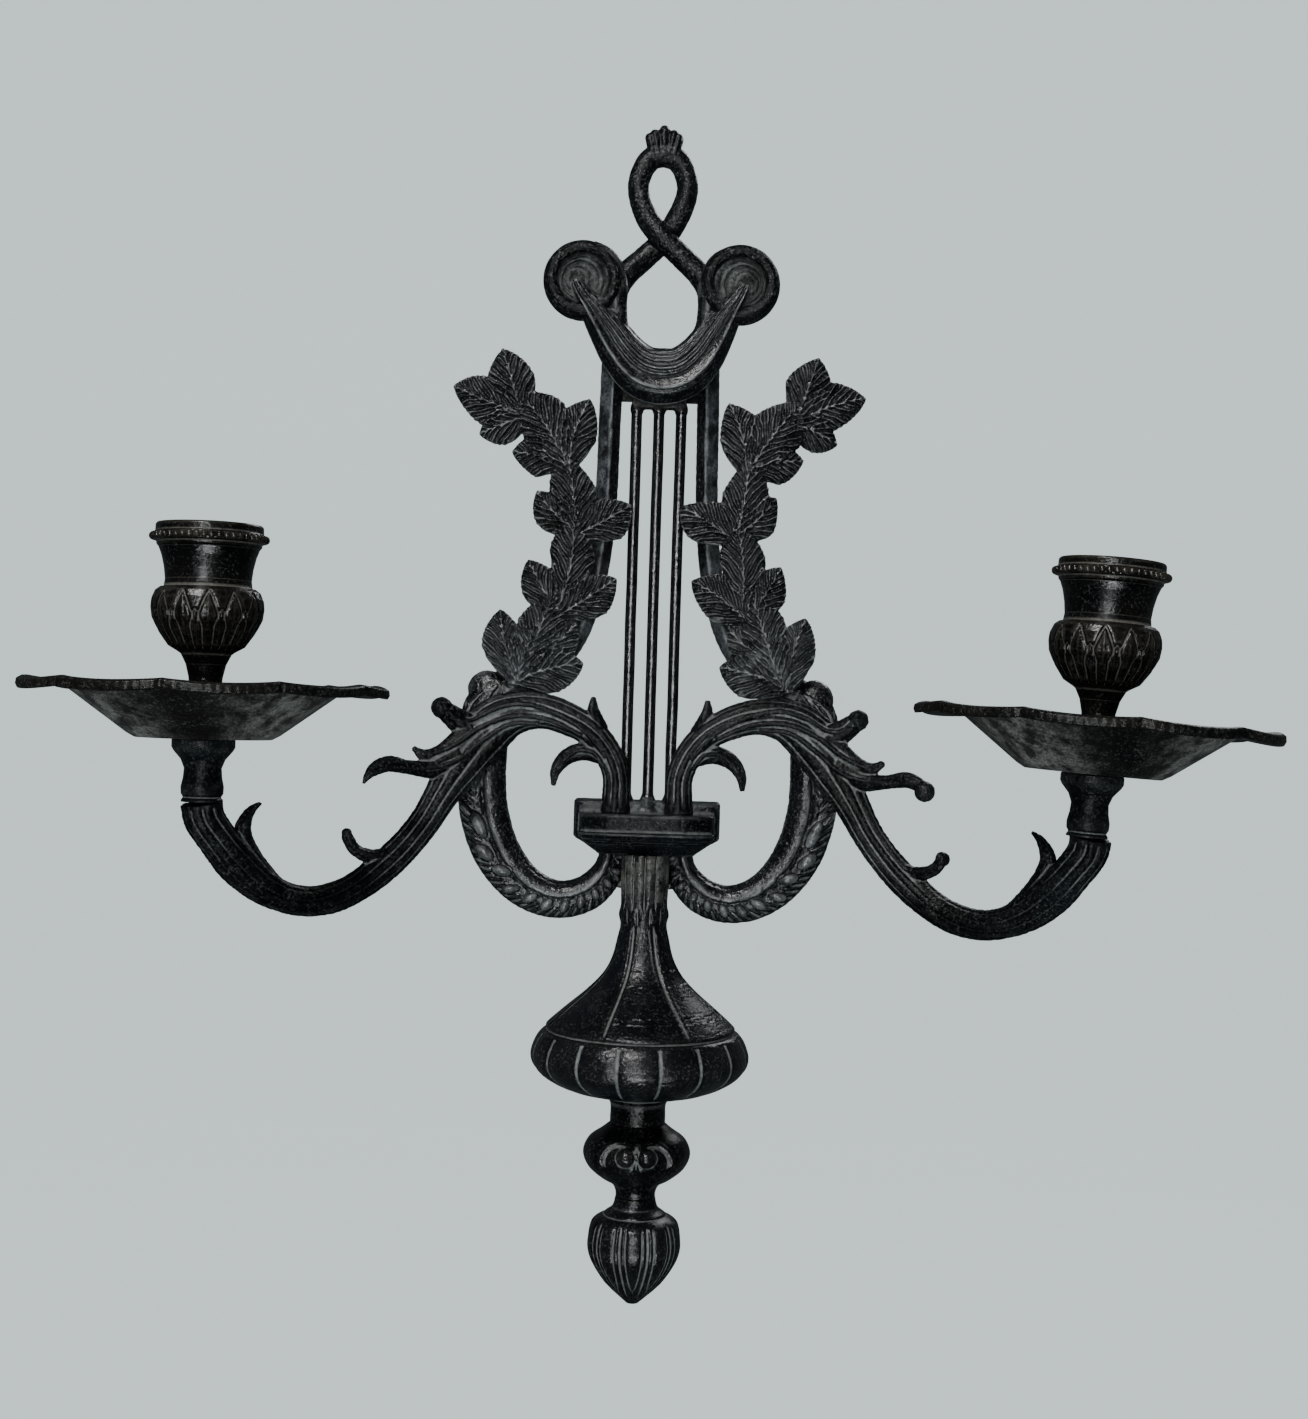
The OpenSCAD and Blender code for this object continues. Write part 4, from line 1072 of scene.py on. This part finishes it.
LOW_CURL = [[80, 0, -159.2, 3.8, 3.6], [86.5, 0, -159.8, 2.6, 2.9], [91.6, 0, -157.6, 2.0, 2.3],
            [94, 0, -153.9, 1.9, 2.0]]
LOW_TIP = {LEFT: [[94.6, 0, -151.8, 1.5, 1.6]], RIGHT: [[94.2, 0, -153.2, 1.6, 1.6]]}
END_THORN = [[113, 0, -169, 3.6, 3.6], [117.6, 0, -162.8, 3.9, 3.8], [120.6, 0, -156.4, 3.3, 3.4],
             [121.9, 0, -151, 2.7, 3.0],
             [121.2, 0, -147, 2.1, 2.4], [119.6, 0, -144, 1.3, 1.6], [117.6, 0, -142.2, 0.5, 0.6]]


# veins that leave the stem's flow and run out into the leaves
ARM_VEINS = [
    [[14, -3.6, -126, 0.7, 0.8], [20.5, -3.9, -118.5, 0.7, 0.8], [30, -4, -112.5, 0.8, 0.8],
     [42, -4.2, -109.5, 0.8, 0.8], [51, -4.2, -111.5, 0.8, 0.8], [58.5, -3.4, -115.4, 0.7, 0.7],
     [63.4, -2.8, -114.6, 0.6, 0.6],
     [67.4, -2.8, -109.6, 0.5, 0.5]],
    [[22, -4, -119.2, 0.7, 0.8], [33, -4.3, -114.4, 0.8, 0.8], [44, -4.5, -113.5, 0.8, 0.8],
     [54, -4.6, -117, 0.8, 0.8], [63, -3.4, -123.4, 0.7, 0.7], [71, -2.0, -127.2, 0.5, 0.5]],
    [[36, -4.2, -115.8, 0.7, 0.8], [46, -4.6, -116.5, 0.8, 0.8], [55, -4.8, -122.5, 0.8, 0.8],
     [63, -4.2, -129, 0.8, 0.8], [73, -2.6, -131.3, 0.6, 0.6], [84, -2.3, -130.6, 0.5, 0.5]],
    [[14.5, -3.6, -129.5, 0.7, 0.7], [18, -3.6, -124.8, 0.7, 0.7], [23.5, -3, -124.4, 0.6, 0.6],
     [28.5, -2.2, -128, 0.5, 0.5]],
]


def reeds(count, depth, start=0.0):
    """Long rounded reeds with sharp valleys over the front and back of a stem."""

    def lift(s, q, front):
        angle = np.arccos(np.clip(q, -1, 1))
        grow = np.clip((s - start) / 6, 0, 1)
        return grow * depth * (np.abs(np.sin(count * angle / 2 + 0.35)) ** 0.45 - 0.8)

    return lift


def flutes(s, q, front):
    """The stem's reeds: sharp from the block to the shoulder and almost worn away along the low bow."""
    strong = reeds(10, 1.15)(s, q, front)
    return strong * (1 - 0.45 * step_up(s, 112, 135) * (1 - step_up(s, 186, 200)))


def arm_casting(side):
    """One arm: the reeded stem, its leaves and thorns with their balls, and the shoulder's screw pad."""
    leaves = [
        (CURL_IN_ARCH, 4), (ROOT_THORN, 3), (KNOB_LEAF, 5), (SHORT_LEAF, 4), (LONG_LEAF + LONG_TIP[side], 4),
        (LOW_CURL + LOW_TIP[side], 4), (END_THORN, 4),
    ]
    parts = [tube(arm_rows(ARM_STEM, side, 0.6), 88, relief=flutes)]
    for rows, count in leaves:
        parts.append(tube(arm_rows(rows, side, 0.5), 48, relief=reeds(count, 0.6)))
    ends = [(67.9, 0.8, -111.5, 3.5)]
    if side == RIGHT:
        ends += [(88.3, 0, -133.1, 3.3), (93.9, 0, -153.9, 2.4), (75.2, 0, -125.4, 1.3)]
    else:
        ends += [(94.6, 0, -152.0, 1.7), (75.6, 0, -125.2, 1.0)]
    for x, y, z, r in ends:
        parts.append(blob(side * x, arm_y(x) + y, z - sag(x, side), r, r * 0.95, r))
    for rows in ARM_VEINS:
        parts.append(tube(arm_rows(rows, side, 0.5), 14))
    parts.append(pad(side * SHOULDER_X, -118, 4.4, -9.1, -14.1, 40, 0.6))
    return joined(parts)


def arms():
    for side in (LEFT, RIGHT):
        name = SIDE_NAME[side] + "_arm"
        finish_piece(name + "_casting", arm_casting(side), name, arm_skin,
                     fused=0.35, ease=0, reach=0.9, depth=0.15, skin=0.05)


# ---- laurel sprays

# rows of x, y, z, half width, half depth
SPRAY_STEM = [
    [45.4, -11.6, -103.2, 2.2, 2.4], [43.8, -11.6, -96, 2.0, 2.2], [38, -11, -88, 1.8, 1.6],
    [31, -11, -75.5, 1.8, 1.5], [27, -11, -62, 1.8, 1.5], [25.2, -11, -49, 1.8, 1.5],
    [27, -11, -38, 1.7, 1.5], [31, -11, -27.5, 1.6, 1.4], [38.5, -11, -17.6, 1.4, 1.4],
    [47, -11, -12, 1.2, 1.3],
]
# leaves as (base x, base z, tip x, tip z, width, how far forward)
SPRAY_LEAVES = [
    [46, -13.5, 68.2, -5.2, 14, 0.0], [45.5, -13, 52.2, 7.6, 14, 0.5], [42.5, -14, 59.2, -20.9, 11.8, 0.1],
    [30, -30.5, 46.8, -7.0, 16.5, 1.0], [29.4, -30.5, 23.0, -8.2, 13.6, 0.6],
    [29.6, -28.5, 48.2, -26.4, 13, 0.2], [26.2, -51, 29.8, -27, 14, 1.1],
    [25.4, -53, 39.6, -39.0, 12.4, 0.4], [25.4, -53, 8.2, -42.8, 14, 0.7], [29.6, -73, 27.0, -48, 14, 1.1],
    [30.8, -79.5, 41.8, -61.8, 12.6, 0.4], [31, -80, 12.4, -67.2, 14, 0.7],
    [41.0, -97, 32.6, -72, 14.5, 1.1], [44.8, -102, 50.4, -78.4, 13.8, 0.5],
    [44.2, -101.8, 22.4, -95.4, 15, 0.8], [43.8, -102, 37.4, -81, 13, 1.25],
    [40.5, -96, 24.8, -82.0, 12, 0.2],
]

# how much wider the leaves are than their listed width
LEAF_SWELL = 1.1
# pads for the screws: x, z, radius, y of the back, y of the front
SPRAY_PADS = [[16.4, -46.6, 3.1, -8.05, -12], [45, -101.6, 2.9, -9.05, -11.4]]


def leaf(rng, x0, z0, x1, z1, width, forward):
    """A thick laurel leaf with a blunt tip, a raised midrib, slanting veins and fine chasing between them."""
    rows, cols = 80, 61
    u, v = np.meshgrid(np.linspace(0, 1, rows), np.linspace(-1, 1, cols), indexing="ij")
    length = math.hypot(x1 - x0, z1 - z0)
    pitch = 3.1 + 0.4 * rng.uniform(-1, 1)
    lean = 1.8
    widest = 0.52 + 0.09 * rng.uniform(-1, 1) * np.sign(v)
    blunt = 1.6 + 0.4 * rng.uniform(-1, 1) * np.sign(v)
    rise = np.clip(u / widest, 0, 1)
    fall = np.clip((u - widest) / (1 - widest), 0, 1)
    half = LEAF_SWELL * width / 2 * (0.34 + 0.66 * rise * (1.6 - 0.6 * rise))
    half = half * np.clip(1 - fall**blunt, 0, 1) ** 0.8
    shift = rng.uniform(0, 1)
    scallop = np.cos(2 * np.pi * ((u * length - lean * half) / pitch + shift * (v > 0)))
    half = half * (1 + 0.02 * scallop * np.clip(u * 3, 0, 1)) + 1e-3
    tip = np.clip((u - 0.9) / 0.1, 0, 1)
    across = v * half
    far = np.abs(across)
    bend = 0.06 * length * rng.uniform(-1, 1) * np.sin(np.pi * u)
    edge = np.clip((1 - np.abs(v)) / 0.13, 0, 1) ** 0.5
    camber = 1.2 * (1 - np.abs(v) ** 1.8) + 0.4 * np.sin(np.pi * u)
    side_share = np.clip(far / 1.0, 0, 1)
    midrib = 0.6 * np.exp(-((across / 0.5) ** 2)) * (1 - 0.5 * u) - 0.7 * np.exp(-(((far - 1.0) / 0.42) ** 2))
    wobble = 0.22 * np.sin(1.7 * far + 5 * shift) + 0.5 * np.sin(0.55 * u * length + 9 * shift)
    vein_at = (u * length - lean * far + 0.06 * far**2 + wobble) / pitch + shift * (v > 0)
    crest = 1 - np.abs(np.sin(np.pi * vein_at))
    bold = 2.9 * crest**1.35 - 1.1
    chased = np.abs(np.sin(np.pi * (vein_at * pitch / 1.3 + 0.5 * np.sin(1.1 * far + 3 * vein_at))))
    bold = bold * (1 + 0.35 * np.sin(2.6 * vein_at + 7 * shift))
    vein = (bold + 0.4 * (chased - 0.5) * (1 - crest)) * side_share
    arch = 1.6 * np.sin(np.pi * np.clip(u * 0.8 + 0.12, 0, 1)) - 0.6 * tip
    y_back = SPRAY_BACK - 0.3 - forward - 0.5 * arch
    y_front = y_back - 0.9 - edge * (0.6 + camber * 0.62) - edge * (midrib + vein) * 0.85
    run = np.array([x1 - x0, z1 - z0]) / length
    cross = np.array([-run[1], run[0]])
    x = x0 + run[0] * u * length + cross[0] * (across + bend)
    z = z0 + run[1] * u * length + cross[1] * (across + bend)
    front = np.stack([x, y_front, z], -1).reshape(-1, 3)
    back = np.stack([x, y_back, z], -1).reshape(-1, 3)
    quads = grid_faces(rows, cols, wrap=False)
    total = rows * cols
    rim = np.concatenate([
        np.arange(cols), np.arange(2, rows + 1) * cols - 1,
        np.arange(rows * cols - 2, (rows - 1) * cols - 1, -1), np.arange(rows - 2, 0, -1) * cols])
    after = np.roll(rim, -1)
    wall = np.stack([rim, rim + total, after + total, after], -1)
    return outward((np.vstack([front, back]), [quads, quads[:, ::-1] + total, wall[:, ::-1]]))


def spray(side):
    rng = np.random.default_rng(7 if side == LEFT else 8)
    parts = [tube(smooth(SPRAY_STEM, 0.6), 24, back=SPRAY_BACK, relief=reeds(6, 0.3))]
    for values in SPRAY_LEAVES:
        parts.append(leaf(rng, *values))
    parts += [pad(*place, 32, 0.8) for place in SPRAY_PADS]
    out = joined(parts)
    return mirror_x(out) if side == LEFT else out


def leaf_bloom(pts, normals):
    """A blue-grey patina tint on the lowest leaves."""
    return 0.55 * step_up(-pts[:, 2], 78, 92) * step_up(-normals[:, 1], 0.3, 0.8)


def laurels():
    for side in (LEFT, RIGHT):
        name = SIDE_NAME[side] + "_laurel"
        finish_piece(name + "_casting", spray(side), name, leaf_skin, fused=0.31, ease=0,
                     reach=0.9, depth=0.12, skin=0.03, bloom_and_sheen=leaf_bloom)


# ---- candle seats


def seat_matrix(side):
    """From the collar's top centre to the part's frame, in metres."""
    lean = math.atan(2 * RIGHT_SAG / (SEAT_X - SHOULDER_X)) if side == RIGHT else 0.0
    place = Vector((side * SEAT_X, -SEAT_OUT, SEAT_Z - sag(SEAT_X, side))) * MM
    return Matrix.Translation(place) @ Matrix.Rotation(lean, 4, "Y")


def at_seat(side, part):
    """Moves points in millimetres from the collar's top centre to the seat."""
    turn = np.array(seat_matrix(side))
    pts, faces = part
    return (pts @ turn[:3, :3].T) + turn[:3, 3] / MM, faces


COLLAR_EDGE = [
    [0.01, -0.05], [8.9, -0.05], [9.3, -0.4], [9.3, -2.5], [8.7, -3.6], [6.5, -6.2], [5.5, -8.8],
    [5.7, -11.5],
    [6.3, -14.3], [6.2, -16.3], [5.65, -17.2], [5.65, -17.6], [6.1, -18.2], [6.1, -18.75], [0.01, -18.75]]
PAN_LOBES = 10


def pan():
    """A thin dish with a flat scalloped rim whose lobes droop and whose edge is milled."""
    low, wall, deep = 0.08, 1.15, 14.5
    rim_z = low + deep
    outer = [[3.4, low], [20, low], [22.4, 1.4], [40.3, rim_z], [46, rim_z], [51.3, rim_z - 0.4],
             [53.9, rim_z - 0.9]]
    inner = [[54.4, rim_z + 0.2], [54.2, rim_z + 1.6], [53.2, rim_z + 2.2], [51.5, rim_z + 2.3],
             [46, rim_z + 1.9],
             [39.9, rim_z + wall], [21.6, 1.4 + wall], [19.4, low + wall], [3.4, low + wall]]

    def relief(h, turn, r):
        phase = np.abs(np.sin(PAN_LOBES / 2 * turn))
        rim = np.clip((r - 46) / 9, 0, 1) ** 1.5
        mill = 0.13 * np.sin(130 * turn) * np.clip((r - 53) / 1.5, 0, 1)
        return rim * (-2.3 * (1 - phase**0.45)) + mill

    pts, faces = lathe(np.array(outer + inner), 520, 0.9, relief, closed=False)
    r = np.hypot(pts[:, 0], pts[:, 1])
    turn = np.arctan2(pts[:, 0], -pts[:, 1])
    phase = np.abs(np.sin(PAN_LOBES / 2 * turn))
    rim = np.clip((r - 41) / 14, 0, 1)
    pts[:, 2] += rim * (0.7 * (1 - phase**0.6) - 0.5 * phase)
    return pts, faces


CUP_EDGE = [
    [9, 1.45], [8.6, 2.2], [7, 4.2], [5.3, 7.6], [4.75, 11.5], [4.7, 15], [5, 18.2], [5.9, 22], [7.4, 25],
    [8.2, 25.6], [11.1, 27.4], [14.2, 31.8], [16, 35.6], [16.4, 38.6], [16.2, 41.5], [15.3, 43.6],
    [14, 44.6], [12.9, 44.8], [12.6, 47], [13.0, 50.5], [13.8, 54], [14.7, 56.4], [15.5, 57.4],
    [15.6, 58.0], [16.3, 58.5], [16.5, 59.4], [16.3, 60.6], [15.8, 61.0], [15.7, 63.0], [15.3, 63.5],
    [12.0, 63.5], [11.3, 62.9], [11.25, 60], [11.25, 50],
    [11.25, 38.4], [0.01, 38.4]]
CUP_PETALS = 13
CUP_BEADS = 48


def cup():
    """The candle cup: a thin neck, a bulb with two rows of petals, and a socket under a beaded rim."""
    bead_r, bead_z = 16.45, 59.5

    def relief(h, turn, r):
        on_bulb = np.clip((h - 25.6) / 1.5, 0, 1) * np.clip((44.0 - h) / 0.8, 0, 1) * (r > 5)
        t = np.clip((h - 26) / 17.5, 0, 1)
        lift = np.zeros_like(h)
        # tall petals behind, shorter ones in front whose outlines run down to the foot
        for shift, top, spread, span, low in ((0.0, 0.97, 0.5, 0.92, 0.3), (0.5, 0.68, 0.3, 0.5, -1.0)):
            across = np.abs((turn / (2 * np.pi) * CUP_PETALS + shift) % 1 * 2 - 1)
            edge = span * np.clip((top - t) / spread, 0, 1) ** 0.75
            grow = step_up(t, low, low + 0.12)
            lift -= 0.45 * line_mark((across - edge) * 3.4, 0.42) * (t < top + 0.03) * grow
            lift += 0.22 * line_mark(across * 3.4, 0.4) * step_up(top - t, 0.05, 0.15) * grow
        neck = -0.25 * line_mark(h - 57.7, 0.3) * (r > 13)
        return on_bulb * lift + neck

    body = lathe(np.array(CUP_EDGE), 336, 0.42, relief)
    beads = []
    ball = lathe([[0.01, -1.15], [0.6, -1], [1, -0.6], [1.15, 0], [1, 0.6], [0.6, 1], [0.01, 1.15]], 12, 0.6)
    for i in range(CUP_BEADS):
        turn = 2 * math.pi * i / CUP_BEADS
        beads.append((ball[0] + [bead_r * math.sin(turn), -bead_r * math.cos(turn), bead_z], ball[1]))
    return joined([body] + beads)


def pan_painted_reflection(side):
    """Painted reflected light: soft lighter grey sweeps on the underside of the dish wall."""

    def share(pts, normals):
        place = np.array([side * SEAT_X, -SEAT_OUT, 0])
        x, y, _ = (pts - place).T
        turn, r = np.arctan2(x, -y), np.hypot(x, y)
        sweep = 0.5 - 0.3 * np.sin(3 * turn + 0.04 * r) - 0.22 * np.cos(3 * turn)
        return sweep * step_up(-r, -47, -41) * step_up(-normals[:, 2], 0.1, 0.4)

    return share


def seats():
    for side in (LEFT, RIGHT):
        name = SIDE_NAME[side]
        finish_piece(name + "_collar", at_seat(side, lathe(np.array(COLLAR_EDGE), 96, 0.4)),
                     name + "_arm_collar", arm_skin, reach=1.2, depth=0.1)
        finish_piece(name + "_pan_dish", at_seat(side, pan()), name + "_drip_pan", pan_skin,
                     body=name + "_pan", reach=1.2, depth=0.12, bloom_and_sheen=pan_painted_reflection(side))
        finish_piece(name + "_cup_urn", at_seat(side, cup()), name + "_candle_cup", cup_skin,
                     body=name + "_cup", reach=0.9, depth=0.09)


# ---- CAD pieces that stay


def coat(node, material):
    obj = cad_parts[node]
    obj.data.materials.clear()
    obj.data.materials.append(material)


def keep_cad():
    """The hanger plate and the hidden fixings keep their CAD shape and only get a material."""
    for node in ("drape_screws", "frame_screw", "tie_rod", "arm_root_pins", "arm_screws", "laurel_screws",
                 "left_cup_stud", "right_cup_stud"):
        coat(node, steel_skin)
    coat("hanger_plate", plate_skin)


# ---- stage, light and camera


def paper(name):
    """Pale matt paper that glows softly, so that it stays even from edge to edge."""
    mat, _, _, shader = new_material(name)
    shader.inputs["Base Color"].default_value = (0.10, 0.11, 0.11, 1)
    shader.inputs["Roughness"].default_value = 0.95
    shader.inputs["Emission Color"].default_value = (0.755, 0.872, 0.872, 1)
    shader.inputs["Emission Strength"].default_value = 1.0
    return mat


def stage_piece(name, part, material):
    """A part of the stage, from points in metres, that the sconce doesn't mirror."""
    obj = mesh_object(name, (np.asarray(part[0], float) / MM, part[1]))
    obj.visible_glossy = False
    obj.data.materials.append(material)
    return obj


def stage():
    """A plain pale floor that sweeps up behind the sconce, and the same paper all round for other views."""
    floor_z, back_y, curve_r, half_width, top_z = -0.62, 2.2, 0.9, 4.0, 3.0
    bend = np.linspace(0, math.pi / 2, 13)[1:]
    profile = [(-3.0, floor_z), (back_y - curve_r, floor_z)]
    for a in bend:
        profile.append((back_y - curve_r + curve_r * math.sin(a), floor_z + curve_r * (1 - math.cos(a))))
    profile.append((back_y, top_z))
    pale = paper("floor_paper")
    verts = [(x, y, z) for x in (-half_width, half_width) for y, z in profile]
    stage_piece("floor", (verts, [grid_faces(2, len(profile), wrap=False)]), pale)
    turns = np.linspace(0, 2 * math.pi, 97)[:-1]
    low, high = -0.9, 6.0
    ring = [(half_width * math.sin(a), half_width * math.cos(a), z) for z in (low, high) for a in turns]
    around = stage_piece("surround", (ring, [grid_faces(2, len(turns))]), pale)
    around.visible_diffuse = False


def area_light(name, place, target, size, power, colour=(1, 1, 1)):
    data = bpy.data.lights.new(name, "AREA")
    data.shape = "RECTANGLE"
    data.size, data.size_y = size
    data.energy = power
    data.color = colour
    obj = bpy.data.objects.new(name, data)
    obj.visible_camera = False
    obj.location = place
    obj.rotation_euler = (Vector(target) - Vector(place)).to_track_quat("-Z", "Y").to_euler()
    bpy.context.scene.collection.objects.link(obj)


def lights():
    middle = (0, -0.02, -0.12)
    area_light("window", (-0.14, -1.15, -0.08), (-0.02, 0, -0.10), (0.2, 0.44), 7.0, (0.97, 0.99, 1.0))
    area_light("key", (-0.35, -0.95, 0.9), middle, (0.3, 0.25), 17, (1.0, 0.99, 0.98))
    area_light("rear", (0.5, 1.0, 0.65), middle, (0.5, 0.5), 4.0, (0.97, 0.99, 1.0))
    area_light("low_window", (-0.02, -0.9, -0.78), middle, (0.42, 0.16), 7.5, (0.95, 0.98, 1.0))
    world = bpy.data.worlds.new("studio")
    bpy.context.scene.world = world
    world.use_nodes = True
    tree = world.node_tree
    sky = tree.nodes["Background"]
    where = tree.nodes.new("ShaderNodeTexCoord")
    split = tree.nodes.new("ShaderNodeSeparateXYZ")
    tree.links.new(where.outputs["Generated"], split.inputs["Vector"])
    fade = tree.nodes.new("ShaderNodeMapRange")
    fade.inputs["From Min"].default_value = -0.6
    fade.inputs["From Max"].default_value = 0.9
    tree.links.new(split.outputs["Y"], fade.inputs["Value"])
    tone = tree.nodes.new("ShaderNodeMix")
    tone.data_type = "RGBA"
    tone.inputs["A"].default_value = (0.012, 0.013, 0.016, 1)
    tone.inputs["B"].default_value = (0.060, 0.066, 0.069, 1)
    tree.links.new(fade.outputs["Result"], tone.inputs["Factor"])
    tree.links.new(tone.outputs["Result"], sky.inputs["Color"])
    sky.inputs["Strength"].default_value = 1.0


def camera():
    """At the sconce's own height, two thirds of a metre out, rolled a little."""
    data = bpy.data.cameras.new("view")
    data.sensor_width = 36
    data.sensor_fit = "AUTO"
    data.lens = 49.07
    data.clip_start = 0.01
    obj = bpy.data.objects.new("view", data)
    place = Matrix.Translation((0.0013, -0.650, -0.110))
    level = Matrix.Rotation(math.radians(90), 4, "X")
    obj.matrix_world = place @ level @ Matrix.Rotation(math.radians(1.75), 4, "Z")
    bpy.context.scene.collection.objects.link(obj)
    bpy.context.scene.camera = obj


camera()
stage()
lights()
lyre_frame()
swag_drape()
strings()
base_block()
turned_drop()
arms()
laurels()
seats()
keep_cad()
